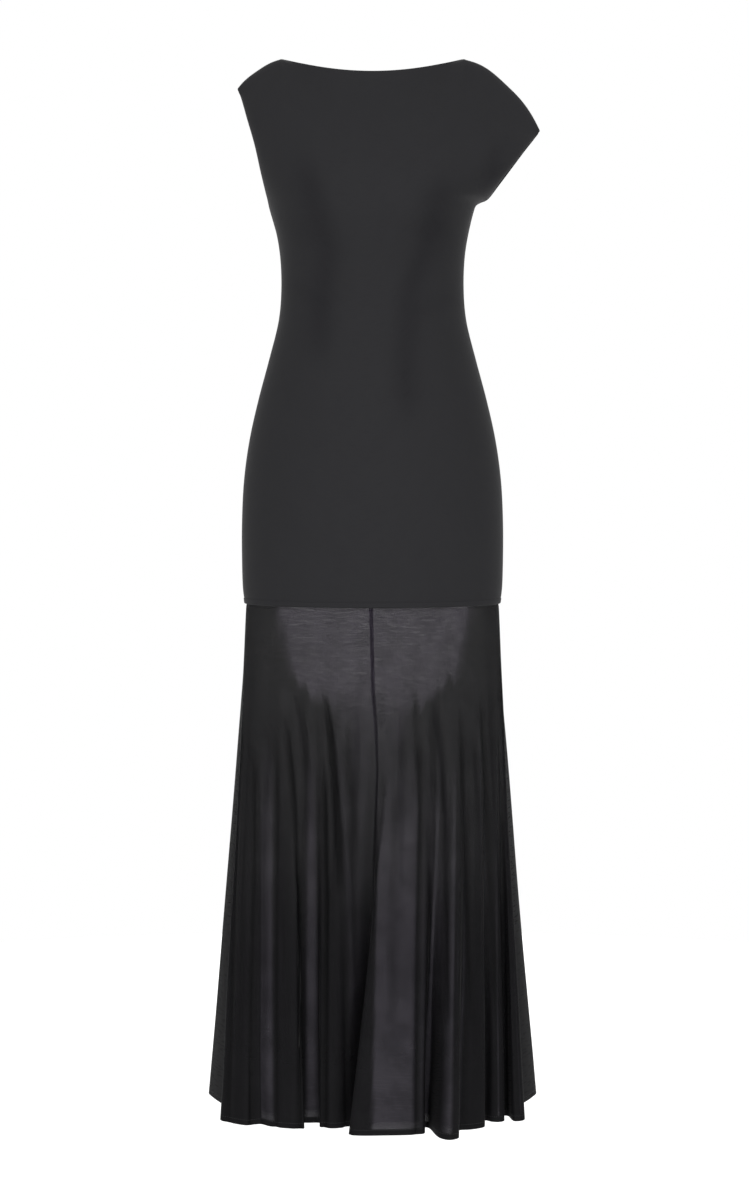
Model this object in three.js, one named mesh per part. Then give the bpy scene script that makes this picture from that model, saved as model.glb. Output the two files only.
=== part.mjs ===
import * as THREE from 'three';

// A floor-length jersey dress in the form that it has when worn, with nothing inside it.
// The shoulder line lies at the origin, the front faces -Y and +Z is up. Sizes are in millimetres.
// An opaque fitted bodice reaches down to a low hip seam. One shoulder is sleeveless, the other has
// a short sleeve cut in one with the bodice. A sheer flared skirt hangs in folds from the seam.

// Driving dimensions
const SHOULDER_TO_SEAM = 737;
const SHOULDER_TO_HEM = 1410;
const BODICE_WALL = 1.4;
const SKIRT_WALL = 1.1;
const SEAM_GAP = 0.3;
const LAP_GAP = 1.2;
const LAP_HEIGHT = 8;
const HEM_TURN = { height: 9, step: 1, extra: 0.8 };
const BAND = { height: 7, fade: 14, extra: 0.5 };
const HEM_OVAL = { half: 216, reach: 172 };

// The top edge: two shoulder seams and the boat neckline between them
const SHOULDER_TIP = { left: -182, leftDrop: 40, right: 225.5, rightDrop: 96 };
const NECK = { half: 124, frontDrop: 24, frontReach: 70, backDrop: 44, backReach: 58, roundness: 0.75 };
const SHOULDER_BOW = { left: 6, right: 18.8, skew: 1.2, fullness: 3 };
const SHOULDER_ROLL = { reach: 17, fall: 4 };
const NECK_ROLL = { reach: 4, fall: 13 };
const ROLL_BLEND = { outside: -6, inside: 40 };

// A soft fullness on each side of the chest, as the panels are cut for a general figure
const BUST = { apart: 82, drop: 188, rise: 8, wide: 52, high: 62 };

// Sections of the bodice from the top edge down. drop is below the shoulder line at the middle,
// left and right are the two edges, gape is how far each edge stands off the seam plane where an
// arm goes through, front and back are the reach at the middle, and wrap is how round the sides are.
const SECTIONS = [
  { name: 'collarbone', drop: 56, left: -178.5, leftDrop: 52, leftGape: 12, right: 220.5, rightDrop: 104,
    rightGape: 15, front: 82, back: 70, wrap: 0.62 },
  { name: 'upper chest', drop: 92, left: -169, leftDrop: 84, leftGape: 25, right: 208, rightDrop: 122,
    rightGape: 34, front: 99, back: 82, wrap: 0.6 },
  { name: 'chest', drop: 128, left: -158.5, leftDrop: 120, leftGape: 33, right: 190.5, rightDrop: 145,
    rightGape: 47, front: 112, back: 89, wrap: 0.58 },
  { name: 'armpit', drop: 160, left: -150.5, leftDrop: 156, leftGape: 28, right: 171, rightDrop: 171,
    rightGape: 42, front: 120, back: 93, wrap: 0.55 },
  { name: 'armhole foot', drop: 182, left: -145, leftDrop: 180, leftGape: 12, right: 156.5, rightDrop: 190,
    rightGape: 17, front: 123, back: 94, wrap: 0.52 },
  { name: 'underarm', drop: 196, left: -142, leftDrop: 193, leftGape: 0, right: 146.5, rightDrop: 196,
    rightGape: 0, front: 124, back: 94, wrap: 0.5 },
  { name: 'side top', drop: 206, left: -139.5, leftDrop: 204, leftGape: 0, right: 141.5, rightDrop: 199.5,
    rightGape: 0, front: 123.5, back: 93.5, wrap: 0.5 },
  { name: 'side', drop: 217, left: -136.3, leftDrop: 215, leftGape: 0, right: 138.6, rightDrop: 206,
    rightGape: 0, front: 122, back: 92.5, wrap: 0.5 },
  ring('under bust', 240, 129.5, 116, 90),
  ring('high waist', 272, 124.8, 107, 86),
  ring('waist', 313, 123.6, 99, 82),
  ring('low waist', 354, 127, 98, 84),
  ring('high hip', 408, 140.2, 104, 94),
  ring('upper hip', 462, 154.6, 110, 106),
  ring('hip', 516, 166.6, 115, 116),
  ring('full hip', 570, 174, 118, 121),
  ring('seat', 625, 176.8, 119, 120),
  ring('thigh', 680, 176.8, 118, 116),
  ring('above band', SHOULDER_TO_SEAM - BAND.height - BAND.fade, 175.6, 116.2, 113.6),
  ring('band top', SHOULDER_TO_SEAM - BAND.height, 174, 115.2, 112.2),
  ring('hip seam', SHOULDER_TO_SEAM, 173, 114.5, 111.5),
];

// The faces of the skirt's hem, in order round the body from the left side seam: each is a crest or
// a tuck, from one edge to the other in plan, bowed by its crown. at is the angle on the hip seam
// straight above it, from the left side over the front, and start is the share of the skirt's
// height where the fold begins.
const FACES = [
  { name: 'left seam tuck', from: [-193, -50], to: [-187, -86], crown: -3, at: 0, start: 0.02 },
  { name: 'left outer', from: [-201, -117], to: [-161, -148], crown: 4, at: 20, start: 0.08 },
  { name: 'left shallow', from: [-151, -141], to: [-143, -142], crown: -2, at: 33, start: 0.12 },
  { name: 'left inner', from: [-131, -155], to: [-89, -166], crown: 3, at: 50, start: 0.14 },
  { name: 'left recess', from: [-93, -136], to: [-69, -134], crown: -2, at: 63, start: 0.1 },
  { name: 'centre left', from: [-68, -158], to: [-34, -157], crown: 6, at: 72, start: 0.12 },
  { name: 'centre seam tuck', from: [-1, -127], to: [4, -135], crown: -4, at: 90, start: 0.2 },
  { name: 'centre', from: [-30, -197], to: [67, -192], crown: 7, at: 104, start: 0.14 },
  { name: 'right gap', from: [65, -161], to: [79, -162], crown: -4, at: 121, start: 0.1 },
  { name: 'nose', from: [81, -217], to: [109, -216], crown: 9, at: 128, start: 0.16 },
  { name: 'right inner', from: [109, -176], to: [146, -155], crown: 4, at: 139, start: 0.12 },
  { name: 'right tuck', from: [141, -124], to: [149, -120], crown: -3, at: 148, start: 0.1 },
  { name: 'right middle', from: [156, -127], to: [173, -123], crown: 4, at: 156, start: 0.1 },
  { name: 'right slot', from: [170, -99], to: [178, -94], crown: -3, at: 162, start: 0.08 },
  { name: 'right outer', from: [186, -124], to: [201, -114], crown: 4, at: 168, start: 0.06 },
  { name: 'right seam tuck', from: [187, -76], to: [192, -48], crown: -3, at: 180, start: 0.02 },
  { name: 'right side', from: [217, 12], to: [217, 68], crown: 7, at: 193, start: 0.02 },
  { name: 'back tuck 1', from: [191, 91], to: [185, 107], crown: -3, at: 204, start: 0.08 },
  { name: 'back 1', from: [195, 128], to: [160, 152], crown: 5, at: 213, start: 0.1 },
  { name: 'back tuck 2', from: [149, 131], to: [139, 134], crown: -3, at: 224, start: 0.12 },
  { name: 'back 2', from: [134, 163], to: [86, 181], crown: 7, at: 238, start: 0.14 },
  { name: 'back tuck 3', from: [88, 146], to: [66, 150], crown: -3, at: 250, start: 0.16 },
  { name: 'back 3', from: [58, 186], to: [22, 189], crown: 5, at: 260, start: 0.22 },
  { name: 'back tuck 4', from: [17, 163], to: [4, 162], crown: -3, at: 269, start: 0.2 },
  { name: 'back 4', from: [0, 193], to: [-60, 186], crown: 8, at: 284, start: 0.16 },
  { name: 'back tuck 5', from: [-58, 152], to: [-80, 148], crown: -3, at: 299, start: 0.12 },
  { name: 'back 5', from: [-86, 178], to: [-118, 168], crown: 5, at: 309, start: 0.16 },
  { name: 'back tuck 6', from: [-122, 144], to: [-136, 138], crown: -3, at: 320, start: 0.12 },
  { name: 'back 6', from: [-146, 156], to: [-194, 128], crown: 6, at: 334, start: 0.08 },
  { name: 'back tuck 7', from: [-186, 107], to: [-192, 91], crown: -3, at: 344, start: 0.06 },
  { name: 'left side', from: [-217, 68], to: [-217, 12], crown: 7, at: 351, start: 0.02 },
];

// How a section's height moves from its middle to its two edges
const EDGE_LIFT = 1.5;

// How the skirt grows down its height: into the plain oval, and into its folds
const HEM_GROWTH = { widen: 1.04, fold: 1.25 };

// How finely the walls are divided: columns across a bodice panel, the knots between which it has
// a row more, the rows of the skirt, and the longest stretch of hem with no thread of its own
const BODICE_COLUMNS = 26;
const FINE_KNOTS = { first: 1, last: 4 };
const SKIRT_SHARES = [0, 0.03, 0.08, 0.15, 0.23, 0.32, 0.42, 0.52, 0.62, 0.72, 0.82, 0.91, 1];
const LONGEST_STRETCH = 24;

const FINISHES = {
  jersey: { color: 0x303032, roughness: 0.85, metalness: 0 },
  sheer: { color: 0x2a292c, roughness: 0.7, metalness: 0 },
};

function ring(name, drop, half, front, back) {
  return {
    name, drop, left: -half, leftDrop: drop, leftGape: 0, right: half, rightDrop: drop, rightGape: 0,
    front, back, wrap: 0.5,
  };
}

const mix = THREE.MathUtils.lerp;

// The height of the top edge over x, as seen from the front
function shoulderDrop(x) {
  const left = x < 0;
  const tip = left ? SHOULDER_TIP.left : SHOULDER_TIP.right;
  const tipDrop = left ? SHOULDER_TIP.leftDrop : SHOULDER_TIP.rightDrop;
  const bow = left ? SHOULDER_BOW.left : SHOULDER_BOW.right;
  const share = (Math.abs(x) - NECK.half) / (Math.abs(tip) - NECK.half);
  const fromMiddle = Math.abs(2 * share ** SHOULDER_BOW.skew - 1);
  return tipDrop * share - bow * (1 - fromMiddle ** SHOULDER_BOW.fullness);
}

// One point of the top edge of a panel. side is -1 on the front and 1 on the back.
function topEdge(x, side) {
  const drop = side < 0 ? NECK.frontDrop : NECK.backDrop;
  const reach = side < 0 ? NECK.frontReach : NECK.backReach;
  const share = Math.abs(x) / NECK.half;
  if (share >= 1) return new THREE.Vector3(x, side * SEAM_GAP / 2, -shoulderDrop(x));
  const scoop = 1 - share * share;
  return new THREE.Vector3(x, side * (SEAM_GAP / 2 + reach * scoop ** NECK.roundness), -drop * scoop);
}

// The row just below the top edge, which rounds the cloth over the shoulder or below the neckline
function topRoll(x, side) {
  const edge = topEdge(x, side);
  const neck = THREE.MathUtils.smoothstep(NECK.half - Math.abs(x), ROLL_BLEND.outside, ROLL_BLEND.inside);
  edge.y += side * mix(SHOULDER_ROLL.reach, NECK_ROLL.reach, neck);
  edge.z -= mix(SHOULDER_ROLL.fall, NECK_ROLL.fall, neck);
  return edge;
}

// A point of one section, with across running from -1 at the left edge to 1 at the right edge
function sectionPoint(section, across, side) {
  const x = mix(section.left, section.right, (across + 1) / 2);
  const edge = across < 0
    ? { drop: section.leftDrop, gape: section.leftGape }
    : { drop: section.rightDrop, gape: section.rightGape };
  const away = Math.abs(across);
  const drop = mix(section.drop, edge.drop, away ** EDGE_LIFT);
  const reach = side < 0 ? section.front : section.back;
  const arch = Math.max(0, 1 - across * across) ** section.wrap;
  let y = SEAM_GAP / 2 + edge.gape + (reach - edge.gape) * arch;
  if (side < 0) {
    const off = ((Math.abs(x) - BUST.apart) / BUST.wide) ** 2 + ((drop - BUST.drop) / BUST.high) ** 2;
    y += BUST.rise * Math.exp(-off) * arch;
  }
  return new THREE.Vector3(x, side * y, -drop);
}

// The places of the columns across a bodice panel, from -1 to 1, closer together towards the sides,
// with the two nearest ones moved onto the corners between the neckline and the shoulder seams
function columnPlaces() {
  const places = [];
  for (let i = 0; i <= BODICE_COLUMNS; i++) places.push(-Math.cos(Math.PI * i / BODICE_COLUMNS));
  [-NECK.half, NECK.half].forEach((x) => {
    const corner = 2 * (x - SHOULDER_TIP.left) / (SHOULDER_TIP.right - SHOULDER_TIP.left) - 1;
    const apart = places.map((place) => Math.abs(place - corner));
    places[apart.indexOf(Math.min(...apart))] = corner;
  });
  return places;
}

// Points of a bodice panel, row by row from the top edge to the hip seam
function bodiceRows(side) {
  const columns = [];
  columnPlaces().forEach((across) => {
    const x = mix(SHOULDER_TIP.left, SHOULDER_TIP.right, (across + 1) / 2);
    const knots = [topEdge(x, side), topRoll(x, side)];
    SECTIONS.forEach((section) => knots.push(sectionPoint(section, across, side)));
    const curve = new THREE.CatmullRomCurve3(knots, false, 'centripetal');
    const steps = knots.length - 1;
    const points = [];
    for (let k = 0; k <= steps; k++) {
      points.push(curve.getPoint(k / steps));
      if (k >= FINE_KNOTS.first && k <= FINE_KNOTS.last) points.push(curve.getPoint((k + 0.5) / steps));
    }
    columns.push(points);
  });
  return columns[0].map((_, row) => columns.map((column) => column[row]));
}

// Outward directions of a grid of points: rows run down and columns run from left to right
function outwardOf(rows, side) {
  return rows.map((row, r) => row.map((_, c) => {
    const across = new THREE.Vector3().subVectors(
      row[Math.min(c + 1, row.length - 1)], row[Math.max(c - 1, 0)]);
    const down = new THREE.Vector3().subVectors(
      rows[Math.min(r + 1, rows.length - 1)][c], rows[Math.max(r - 1, 0)][c]);
    return new THREE.Vector3().crossVectors(across, down).multiplyScalar(side).normalize();
  }));
}

// Where a panel's edge is a seam, its end face lies in the seam plane
function squareToSeam(direction) {
  direction.y = 0;
  return direction.normalize();
}

// A closed wall from a grid of outer points and the same grid of inner points
function wallGeometry(outer, inner) {
  const height = outer.length;
  const width = outer[0].length;
  const positions = [];
  [...outer, ...inner].forEach((row) => row.forEach((p) => positions.push(p.x, p.y, p.z)));
  const at = (layer, r, c) => layer * height * width + r * width + c;
  const index = [];
  const quad = (a, b, c, d) => index.push(a, b, c, a, c, d);
  for (let r = 0; r < height - 1; r++) {
    for (let c = 0; c < width - 1; c++) {
      quad(at(0, r, c), at(0, r + 1, c), at(0, r + 1, c + 1), at(0, r, c + 1));
      quad(at(1, r, c), at(1, r, c + 1), at(1, r + 1, c + 1), at(1, r + 1, c));
    }
    const last = width - 1;
    quad(at(0, r, 0), at(1, r, 0), at(1, r + 1, 0), at(0, r + 1, 0));
    quad(at(0, r, last), at(0, r + 1, last), at(1, r + 1, last), at(1, r, last));
  }
  for (let c = 0; c < width - 1; c++) {
    const foot = height - 1;
    quad(at(0, 0, c), at(0, 0, c + 1), at(1, 0, c + 1), at(1, 0, c));
    quad(at(0, foot, c), at(1, foot, c), at(1, foot, c + 1), at(0, foot, c + 1));
  }
  const geometry = new THREE.BufferGeometry();
  geometry.setAttribute('position', new THREE.Float32BufferAttribute(positions, 3));
  geometry.setIndex(index);
  geometry.computeVertexNormals();
  return geometry;
}

function offset(rows, directions, distance) {
  return rows.map((row, r) => row.map((p, c) => p.clone().addScaledVector(directions[r][c], distance(r))));
}

// Front or back of the bodice, each cut in one from the neckline to the hip seam
function bodicePanel(side) {
  const rows = bodiceRows(side);
  const directions = outwardOf(rows, side);
  const lastRow = rows.length - 1;
  rows.forEach((row, r) => row.forEach((p, c) => {
    const onSeamPlane = Math.abs(p.y) < SEAM_GAP;
    const onEdge = r === 0 || c === 0 || c === row.length - 1;
    if (onSeamPlane && onEdge) squareToSeam(directions[r][c]);
    if (r === lastRow) directions[r][c].setZ(0).normalize();
  }));
  const band = lastRow - 1;
  const outer = offset(rows, directions, (r) => (r >= band ? BAND.extra : 0));
  const inner = offset(rows, directions, () => -BODICE_WALL);
  if (side < 0) return wallGeometry(outer, inner);
  return wallGeometry(outer.map((row) => row.slice().reverse()), inner.map((row) => row.slice().reverse()));
}

// The closed hem line as knots: each face gives its two edges and its crown between them
function hemKnots() {
  const knots = [];
  FACES.forEach((face) => {
    const from = new THREE.Vector2(...face.from);
    const to = new THREE.Vector2(...face.to);
    const along = to.clone().sub(from).normalize();
    const outward = new THREE.Vector2(along.y, -along.x);
    const crown = from.clone().lerp(to, 0.5).addScaledVector(outward, face.crown);
    [from, crown, to].forEach((p, i) => knots.push({ point: p, middle: i === 1, face }));
  });
  return knots;
}

// The threads of the skirt: where each meets the hem, the angle on the hip seam above it,
// and where its fold starts
function skirtThreads() {
  const knots = hemKnots();
  const count = knots.length;
  const hem = new THREE.CatmullRomCurve3(
    knots.map((knot) => new THREE.Vector3(knot.point.x, knot.point.y, 0)), true, 'centripetal');
  const threads = [];
  knots.forEach((knot, k) => {
    threads.push({ hem: hem.getPoint(k / count), middle: knot.middle ? knot.face : null });
    const edge = k % 3 === 2;
    const next = knots[(k + 1) % count].point;
    if (edge || knot.point.distanceTo(next) > LONGEST_STRETCH) {
      threads.push({ hem: hem.getPoint((k + 0.5) / count), middle: null });
    }
  });
  const total = threads.length;
  const middles = threads.map((thread, i) => (thread.middle ? i : -1)).filter((i) => i >= 0);
  middles.forEach((first, m) => {
    const wrapped = m === middles.length - 1;
    const last = wrapped ? middles[0] + total : middles[m + 1];
    const lengths = [0];
    for (let i = first; i < last; i++) {
      lengths.push(lengths[i - first] + threads[i % total].hem.distanceTo(threads[(i + 1) % total].hem));
    }
    const a = threads[first].middle;
    const b = threads[last % total].middle;
    for (let i = first; i < last; i++) {
      const share = lengths[i - first] / lengths[last - first];
      threads[i % total].angle = mix(a.at, wrapped ? b.at + 360 : b.at, share) % 360;
      threads[i % total].start = mix(a.start, b.start, share);
    }
  });
  return threads;
}

// The smooth ring at the hip seam, just inside the bodice
function seamRing(angle) {
  const seam = SECTIONS[SECTIONS.length - 1];
  const inset = BODICE_WALL + LAP_GAP;
  const turn = THREE.MathUtils.degToRad(angle);
  const sine = Math.sin(turn);
  const reach = (sine > 0 ? seam.front : seam.back) - inset;
  return new THREE.Vector3(-(seam.right - inset) * Math.cos(turn), -reach * sine, 0);
}

// The plain oval that the hem would have with no folds
function hemOval(angle) {
  const turn = THREE.MathUtils.degToRad(angle);
  return new THREE.Vector3(-HEM_OVAL.half * Math.cos(turn), -HEM_OVAL.reach * Math.sin(turn), 0);
}

function threadPoint(thread, share) {
  const top = seamRing(thread.angle);
  const oval = hemOval(thread.angle);
  const widen = share ** HEM_GROWTH.widen;
  const grown = Math.max(0, (share - thread.start) / (1 - thread.start)) ** HEM_GROWTH.fold;
  const point = top.clone().lerp(oval, widen);
  point.addScaledVector(thread.hem.clone().sub(oval), grown);
  point.z = mix(LAP_HEIGHT - SHOULDER_TO_SEAM, -SHOULDER_TO_HEM, share);
  return point;
}

// Sheer skirt panels between two threads, with the turned hem as a thicker foot
function skirtPanel(threads, first, last) {
  const total = threads.length;
  const wrap = (i) => ((i % total) + total) % total;
  const skirtHeight = SHOULDER_TO_HEM - SHOULDER_TO_SEAM + LAP_HEIGHT;
  const turnTop = 1 - HEM_TURN.height / skirtHeight;
  const shares = [...SKIRT_SHARES.slice(0, -1), turnTop, turnTop + HEM_TURN.step / skirtHeight, 1];
  const whole = shares.map((share) => threads.map((thread) => threadPoint(thread, share)));
  const picked = [];
  for (let i = first; i <= last; i++) picked.push(i);
  const outer = [];
  const inner = [];
  shares.forEach((share, r) => {
    const outerRow = [];
    const innerRow = [];
    const thick = SKIRT_WALL + (r >= shares.length - 2 ? HEM_TURN.extra : 0);
    picked.forEach((i, n) => {
      const here = whole[r][wrap(i)];
      const across = new THREE.Vector3().subVectors(whole[r][wrap(i + 1)], whole[r][wrap(i - 1)]);
      const below = whole[Math.min(r + 1, shares.length - 1)][wrap(i)];
      const above = whole[Math.max(r - 1, 0)][wrap(i)];
      const down = new THREE.Vector3().subVectors(below, above);
      const outward = new THREE.Vector3().crossVectors(down, across).normalize();
      if (r === 0 || r === shares.length - 1) outward.setZ(0).normalize();
      const trim = n === 0 ? SEAM_GAP / 2 : (n === picked.length - 1 ? -SEAM_GAP / 2 : 0);
      const placed = here.clone().addScaledVector(across.clone().setZ(0).normalize(), trim);
      outerRow.push(placed);
      innerRow.push(placed.clone().addScaledVector(outward, -thick));
    });
    outer.push(outerRow);
    inner.push(innerRow);
  });
  return wallGeometry(outer, inner);
}

function cloth(name, geometry, finish) {
  const mesh = new THREE.Mesh(geometry, new THREE.MeshStandardMaterial(finish));
  mesh.name = name;
  return mesh;
}

const dress = new THREE.Group();
dress.add(cloth('bodice_front', bodicePanel(-1), FINISHES.jersey));
dress.add(cloth('bodice_back', bodicePanel(1), FINISHES.jersey));

const threads = skirtThreads();
const threadOf = (name) => threads.findIndex((thread) => thread.middle && thread.middle.name === name);
const leftSeam = threadOf('left seam tuck');
const centreSeam = threadOf('centre seam tuck');
const rightSeam = threadOf('right seam tuck');
dress.add(cloth('skirt_front_left', skirtPanel(threads, leftSeam, centreSeam), FINISHES.sheer));
dress.add(cloth('skirt_front_right', skirtPanel(threads, centreSeam, rightSeam), FINISHES.sheer));
dress.add(cloth('skirt_back', skirtPanel(threads, rightSeam, leftSeam + threads.length), FINISHES.sheer));

export default dress;
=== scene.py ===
import logging
import math
from dataclasses import dataclass, field
from enum import Enum

import bpy
import numpy as np
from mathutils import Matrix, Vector


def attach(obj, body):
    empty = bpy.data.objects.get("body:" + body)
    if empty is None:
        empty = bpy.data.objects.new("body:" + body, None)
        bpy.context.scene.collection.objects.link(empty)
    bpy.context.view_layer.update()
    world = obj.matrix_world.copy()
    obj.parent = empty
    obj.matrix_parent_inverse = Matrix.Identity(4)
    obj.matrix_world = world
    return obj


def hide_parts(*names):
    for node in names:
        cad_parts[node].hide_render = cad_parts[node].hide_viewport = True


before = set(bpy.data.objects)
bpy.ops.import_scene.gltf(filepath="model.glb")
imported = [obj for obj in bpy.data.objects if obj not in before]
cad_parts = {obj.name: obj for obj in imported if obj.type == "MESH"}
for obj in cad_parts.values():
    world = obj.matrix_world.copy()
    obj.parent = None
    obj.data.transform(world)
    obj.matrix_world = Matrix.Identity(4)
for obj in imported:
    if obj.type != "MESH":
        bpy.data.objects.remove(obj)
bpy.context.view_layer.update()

# A floor-length jersey dress in the form that it has when worn, with nothing inside it.
# Sizes are in metres and degrees. The front faces -Y, +Z is up, and the shoulder line is at the origin.

log = logging.getLogger("maxi_dress")

Array = np.ndarray
BODY = "root"

# A fall whose line ends below this height runs on into the hem
HEM_REACH = -1.38

# Where across the hip seam its relief fades towards the sides, and the share that is lost there
RELIEF_FADE = (0.140, 0.168)
RELIEF_LOSS = 0.8

# The least length and the least gap between two points that a sum is divided by
NO_LENGTH = 1e-12
NO_GAP = 1e-9


class Side(Enum):
    """The two faces of the dress, by the direction that each looks along Y."""

    FRONT = -1
    BACK = 1


class Slot(Enum):
    """The record's material slots."""

    JERSEY = "jersey"
    SHEER = "sheer_jersey"


def smooth(low: float, high: float, value: Array) -> Array:
    """A soft step.

    Args:
        low: where the step starts.
        high: where it ends.
        value: the places to work it out for.

    Returns:
        0 up to low, 1 from high, and a smooth rise between them.
    """
    share = np.clip((value - low) / (high - low), 0.0, 1.0)
    return share * share * (3.0 - 2.0 * share)


def unit(vectors: Array) -> Array:
    """The same directions with a length of one."""
    return vectors / np.maximum(np.linalg.norm(vectors, axis=-1, keepdims=True), NO_LENGTH)


def spline(p0: Array, p1: Array, p2: Array, p3: Array, share: Array) -> Array:
    """A stretch of a centripetal curve through four points, for many curves at once.

    Args:
        p0: the points before the stretch.
        p1: the points where it starts.
        p2: the points where it ends.
        p3: the points after it.
        share: how far along the stretch, from 0 to 1.

    Returns:
        The points on the curves.
    """
    def gap(a: Array, b: Array) -> Array:
        """The knot spacing between two points."""
        return np.maximum(np.linalg.norm(b - a, axis=-1, keepdims=True), NO_GAP) ** 0.5

    before, here, after = gap(p0, p1), gap(p1, p2), gap(p2, p3)
    start = ((p1 - p0) / before - (p2 - p0) / (before + here) + (p2 - p1) / here) * here
    end = ((p2 - p1) / here - (p3 - p1) / (here + after) + (p3 - p2) / after) * here
    square = -3.0 * p1 + 3.0 * p2 - 2.0 * start - end
    cube = 2.0 * p1 - 2.0 * p2 + start + end
    return p1 + share * (start + share * (square + share * cube))


def flatten(x: Array) -> Array:
    """How much of the hip seam's relief is left at places across, from the middle to the sides."""
    return 1.0 - RELIEF_LOSS * smooth(*RELIEF_FADE, np.abs(x))


def bell(offset: Array, width: float) -> Array:
    """1 where an offset is zero, fading out to both sides over a width."""
    return np.exp(-((offset / width) ** 2))


def waves(first: Array, second: Array, numbers: tuple[float, ...]) -> Array:
    """Waves over two directions.

    Args:
        first: places along one direction.
        second: places along the other.
        numbers: how fast the waves turn along the first and the second, and where they start.

    Returns:
        Heights from -1 to 1.
    """
    along_first, along_second, start = numbers
    return np.sin(along_first * first + along_second * second + start)


def follow(places: Array, walked: Array, values: Array) -> Array:
    """Reads values at some places along a line.

    Args:
        places: the places, by the length from the line's start.
        walked: the same length to each of the line's own points.
        values: three values for each of these points.

    Returns:
        Three values for each place.
    """
    return np.stack([np.interp(places, walked, values[:, i]) for i in range(3)], axis=-1)


def run_length(points: Array, axis: int) -> Array:
    """The length walked along a grid of points.

    Args:
        points: rows by columns of points.
        axis: 0 to walk down the columns, 1 to walk along the rows.

    Returns:
        The length from the first point to each point.
    """
    steps = np.linalg.norm(np.diff(points, axis=axis), axis=-1)
    start = np.zeros_like(np.take(points[..., 0], [0], axis=axis))
    return np.concatenate([start, np.cumsum(steps, axis=axis)], axis=axis)


@dataclass(frozen=True)
class Crease:
    """A soft trough in the cloth between two places, or a ridge where its depth is below zero."""

    name: str
    top: tuple[float, float]
    foot: tuple[float, float]
    width: float
    depth: float
    top_fade: tuple[float, float] = (-0.02, 0.3)
    foot_fade: tuple[float, float] = (0.62, 1.02)

    def sink(self, points: Array) -> Array:
        """How far the crease sinks the cloth.

        Args:
            points: places on the cloth.

        Returns:
            The depth at each, fading out towards the crease's two ends and sides.
        """
        top, foot = np.array(self.top), np.array(self.foot)
        line = foot - top
        length = np.linalg.norm(line)
        offset = points[..., [0, 2]] - top
        along = offset @ line / length ** 2
        beside = (offset[..., 0] * line[1] - offset[..., 1] * line[0]) / length
        fade = smooth(*self.top_fade, along) * (1.0 - smooth(*self.foot_fade, along))
        return self.depth * fade * bell(beside, self.width)


@dataclass(frozen=True)
class Fall:
    """A soft trough, or a ridge where its depth is below zero, that runs down hanging cloth."""

    name: str
    line: tuple[tuple[float, float], ...]
    width: float
    depth: float
    fade: float = 0.07

    def share(self, points: Array) -> Array:
        """How much of the fall is at each place on the cloth.

        Args:
            points: places on the cloth.

        Returns:
            1 along its line, fading out towards its sides, its top and a foot above the hem.
        """
        heights, places = zip(*self.line[::-1])
        x, z = points[..., 0], points[..., 2]
        beside = x - np.interp(z, heights, places)
        ends = smooth(0.0, self.fade, heights[-1] - z)
        if heights[0] > HEM_REACH:
            ends = ends * smooth(0.0, self.fade, z - heights[0])
        return ends * bell(beside, self.width)


@dataclass
class Shell:
    """A closed shell of cloth with rounded edges, from a grid of points on its outer face.

    Rows run down the cloth, and columns run from left to right as seen from outside.
    """

    outer: Array
    outward: Array
    thickness: Array
    rim: float = 0.0009
    thinnest: float = 0.16

    def edge_distance(self) -> Array:
        """Measures how far inside the cloth its points lie.

        Returns:
            The distance of each point to the nearest edge.
        """
        across = run_length(self.outer, 1)
        down = run_length(self.outer, 0)
        sides = np.minimum(across, across[:, -1:] - across)
        ends = np.minimum(down, down[-1:, :] - down)
        return np.minimum(sides, ends)

    def faces(self) -> tuple[Array, Array]:
        """Gives the cloth its thickness.

        Returns:
            The outer and inner points, which close up round the edges.
        """
        full = 0.5 * np.broadcast_to(self.thickness, self.outer.shape[:2])
        near = 1.0 - np.clip(self.edge_distance() / self.rim, 0.0, 1.0)
        half = full * np.maximum(np.sqrt(1.0 - near ** 2), self.thinnest)
        middle = self.outer - self.outward * full[..., None]
        return middle + self.outward * half[..., None], middle - self.outward * half[..., None]

    def build(self, name: str, layers: dict[str, Array]) -> bpy.types.Object:
        """Makes the mesh object.

        Args:
            name: the piece's name.
            layers: values at each point that its finish reads, by their names.

        Returns:
            The piece, with a map of its cloth in metres.
        """
        top, under = self.faces()
        rows, columns = top.shape[:2]
        at = np.arange(rows * columns).reshape(rows, columns)
        back = at + rows * columns

        def strip(a: Array, b: Array, c: Array, d: Array) -> Array:
            """Four-sided faces from four grids of corners."""
            return np.stack([a, b, c, d], axis=-1).reshape(-1, 4)

        quads = np.concatenate([
            strip(at[:-1, :-1], at[1:, :-1], at[1:, 1:], at[:-1, 1:]),
            strip(back[:-1, :-1], back[:-1, 1:], back[1:, 1:], back[1:, :-1]),
            strip(at[:-1, 0], back[:-1, 0], back[1:, 0], at[1:, 0]),
            strip(at[:-1, -1], at[1:, -1], back[1:, -1], back[:-1, -1]),
            strip(at[0, :-1], at[0, 1:], back[0, 1:], back[0, :-1]),
            strip(at[-1, :-1], back[-1, :-1], back[-1, 1:], at[-1, 1:]),
        ])
        across = run_length(self.outer, 1)
        across = across - 0.5 * across[:, -1:]
        cloth_map = np.stack([across, -run_length(self.outer, 0)], axis=-1).reshape(-1, 2)
        piece = make_piece(name, np.concatenate([top.reshape(-1, 3), under.reshape(-1, 3)]), quads,
                           np.concatenate([cloth_map, cloth_map]))
        for title, values in layers.items():
            layer = piece.data.attributes.new(title, "FLOAT", "POINT")
            layer.data.foreach_set("value", np.tile(values.reshape(-1), 2).astype(np.float32))
        return piece


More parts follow.
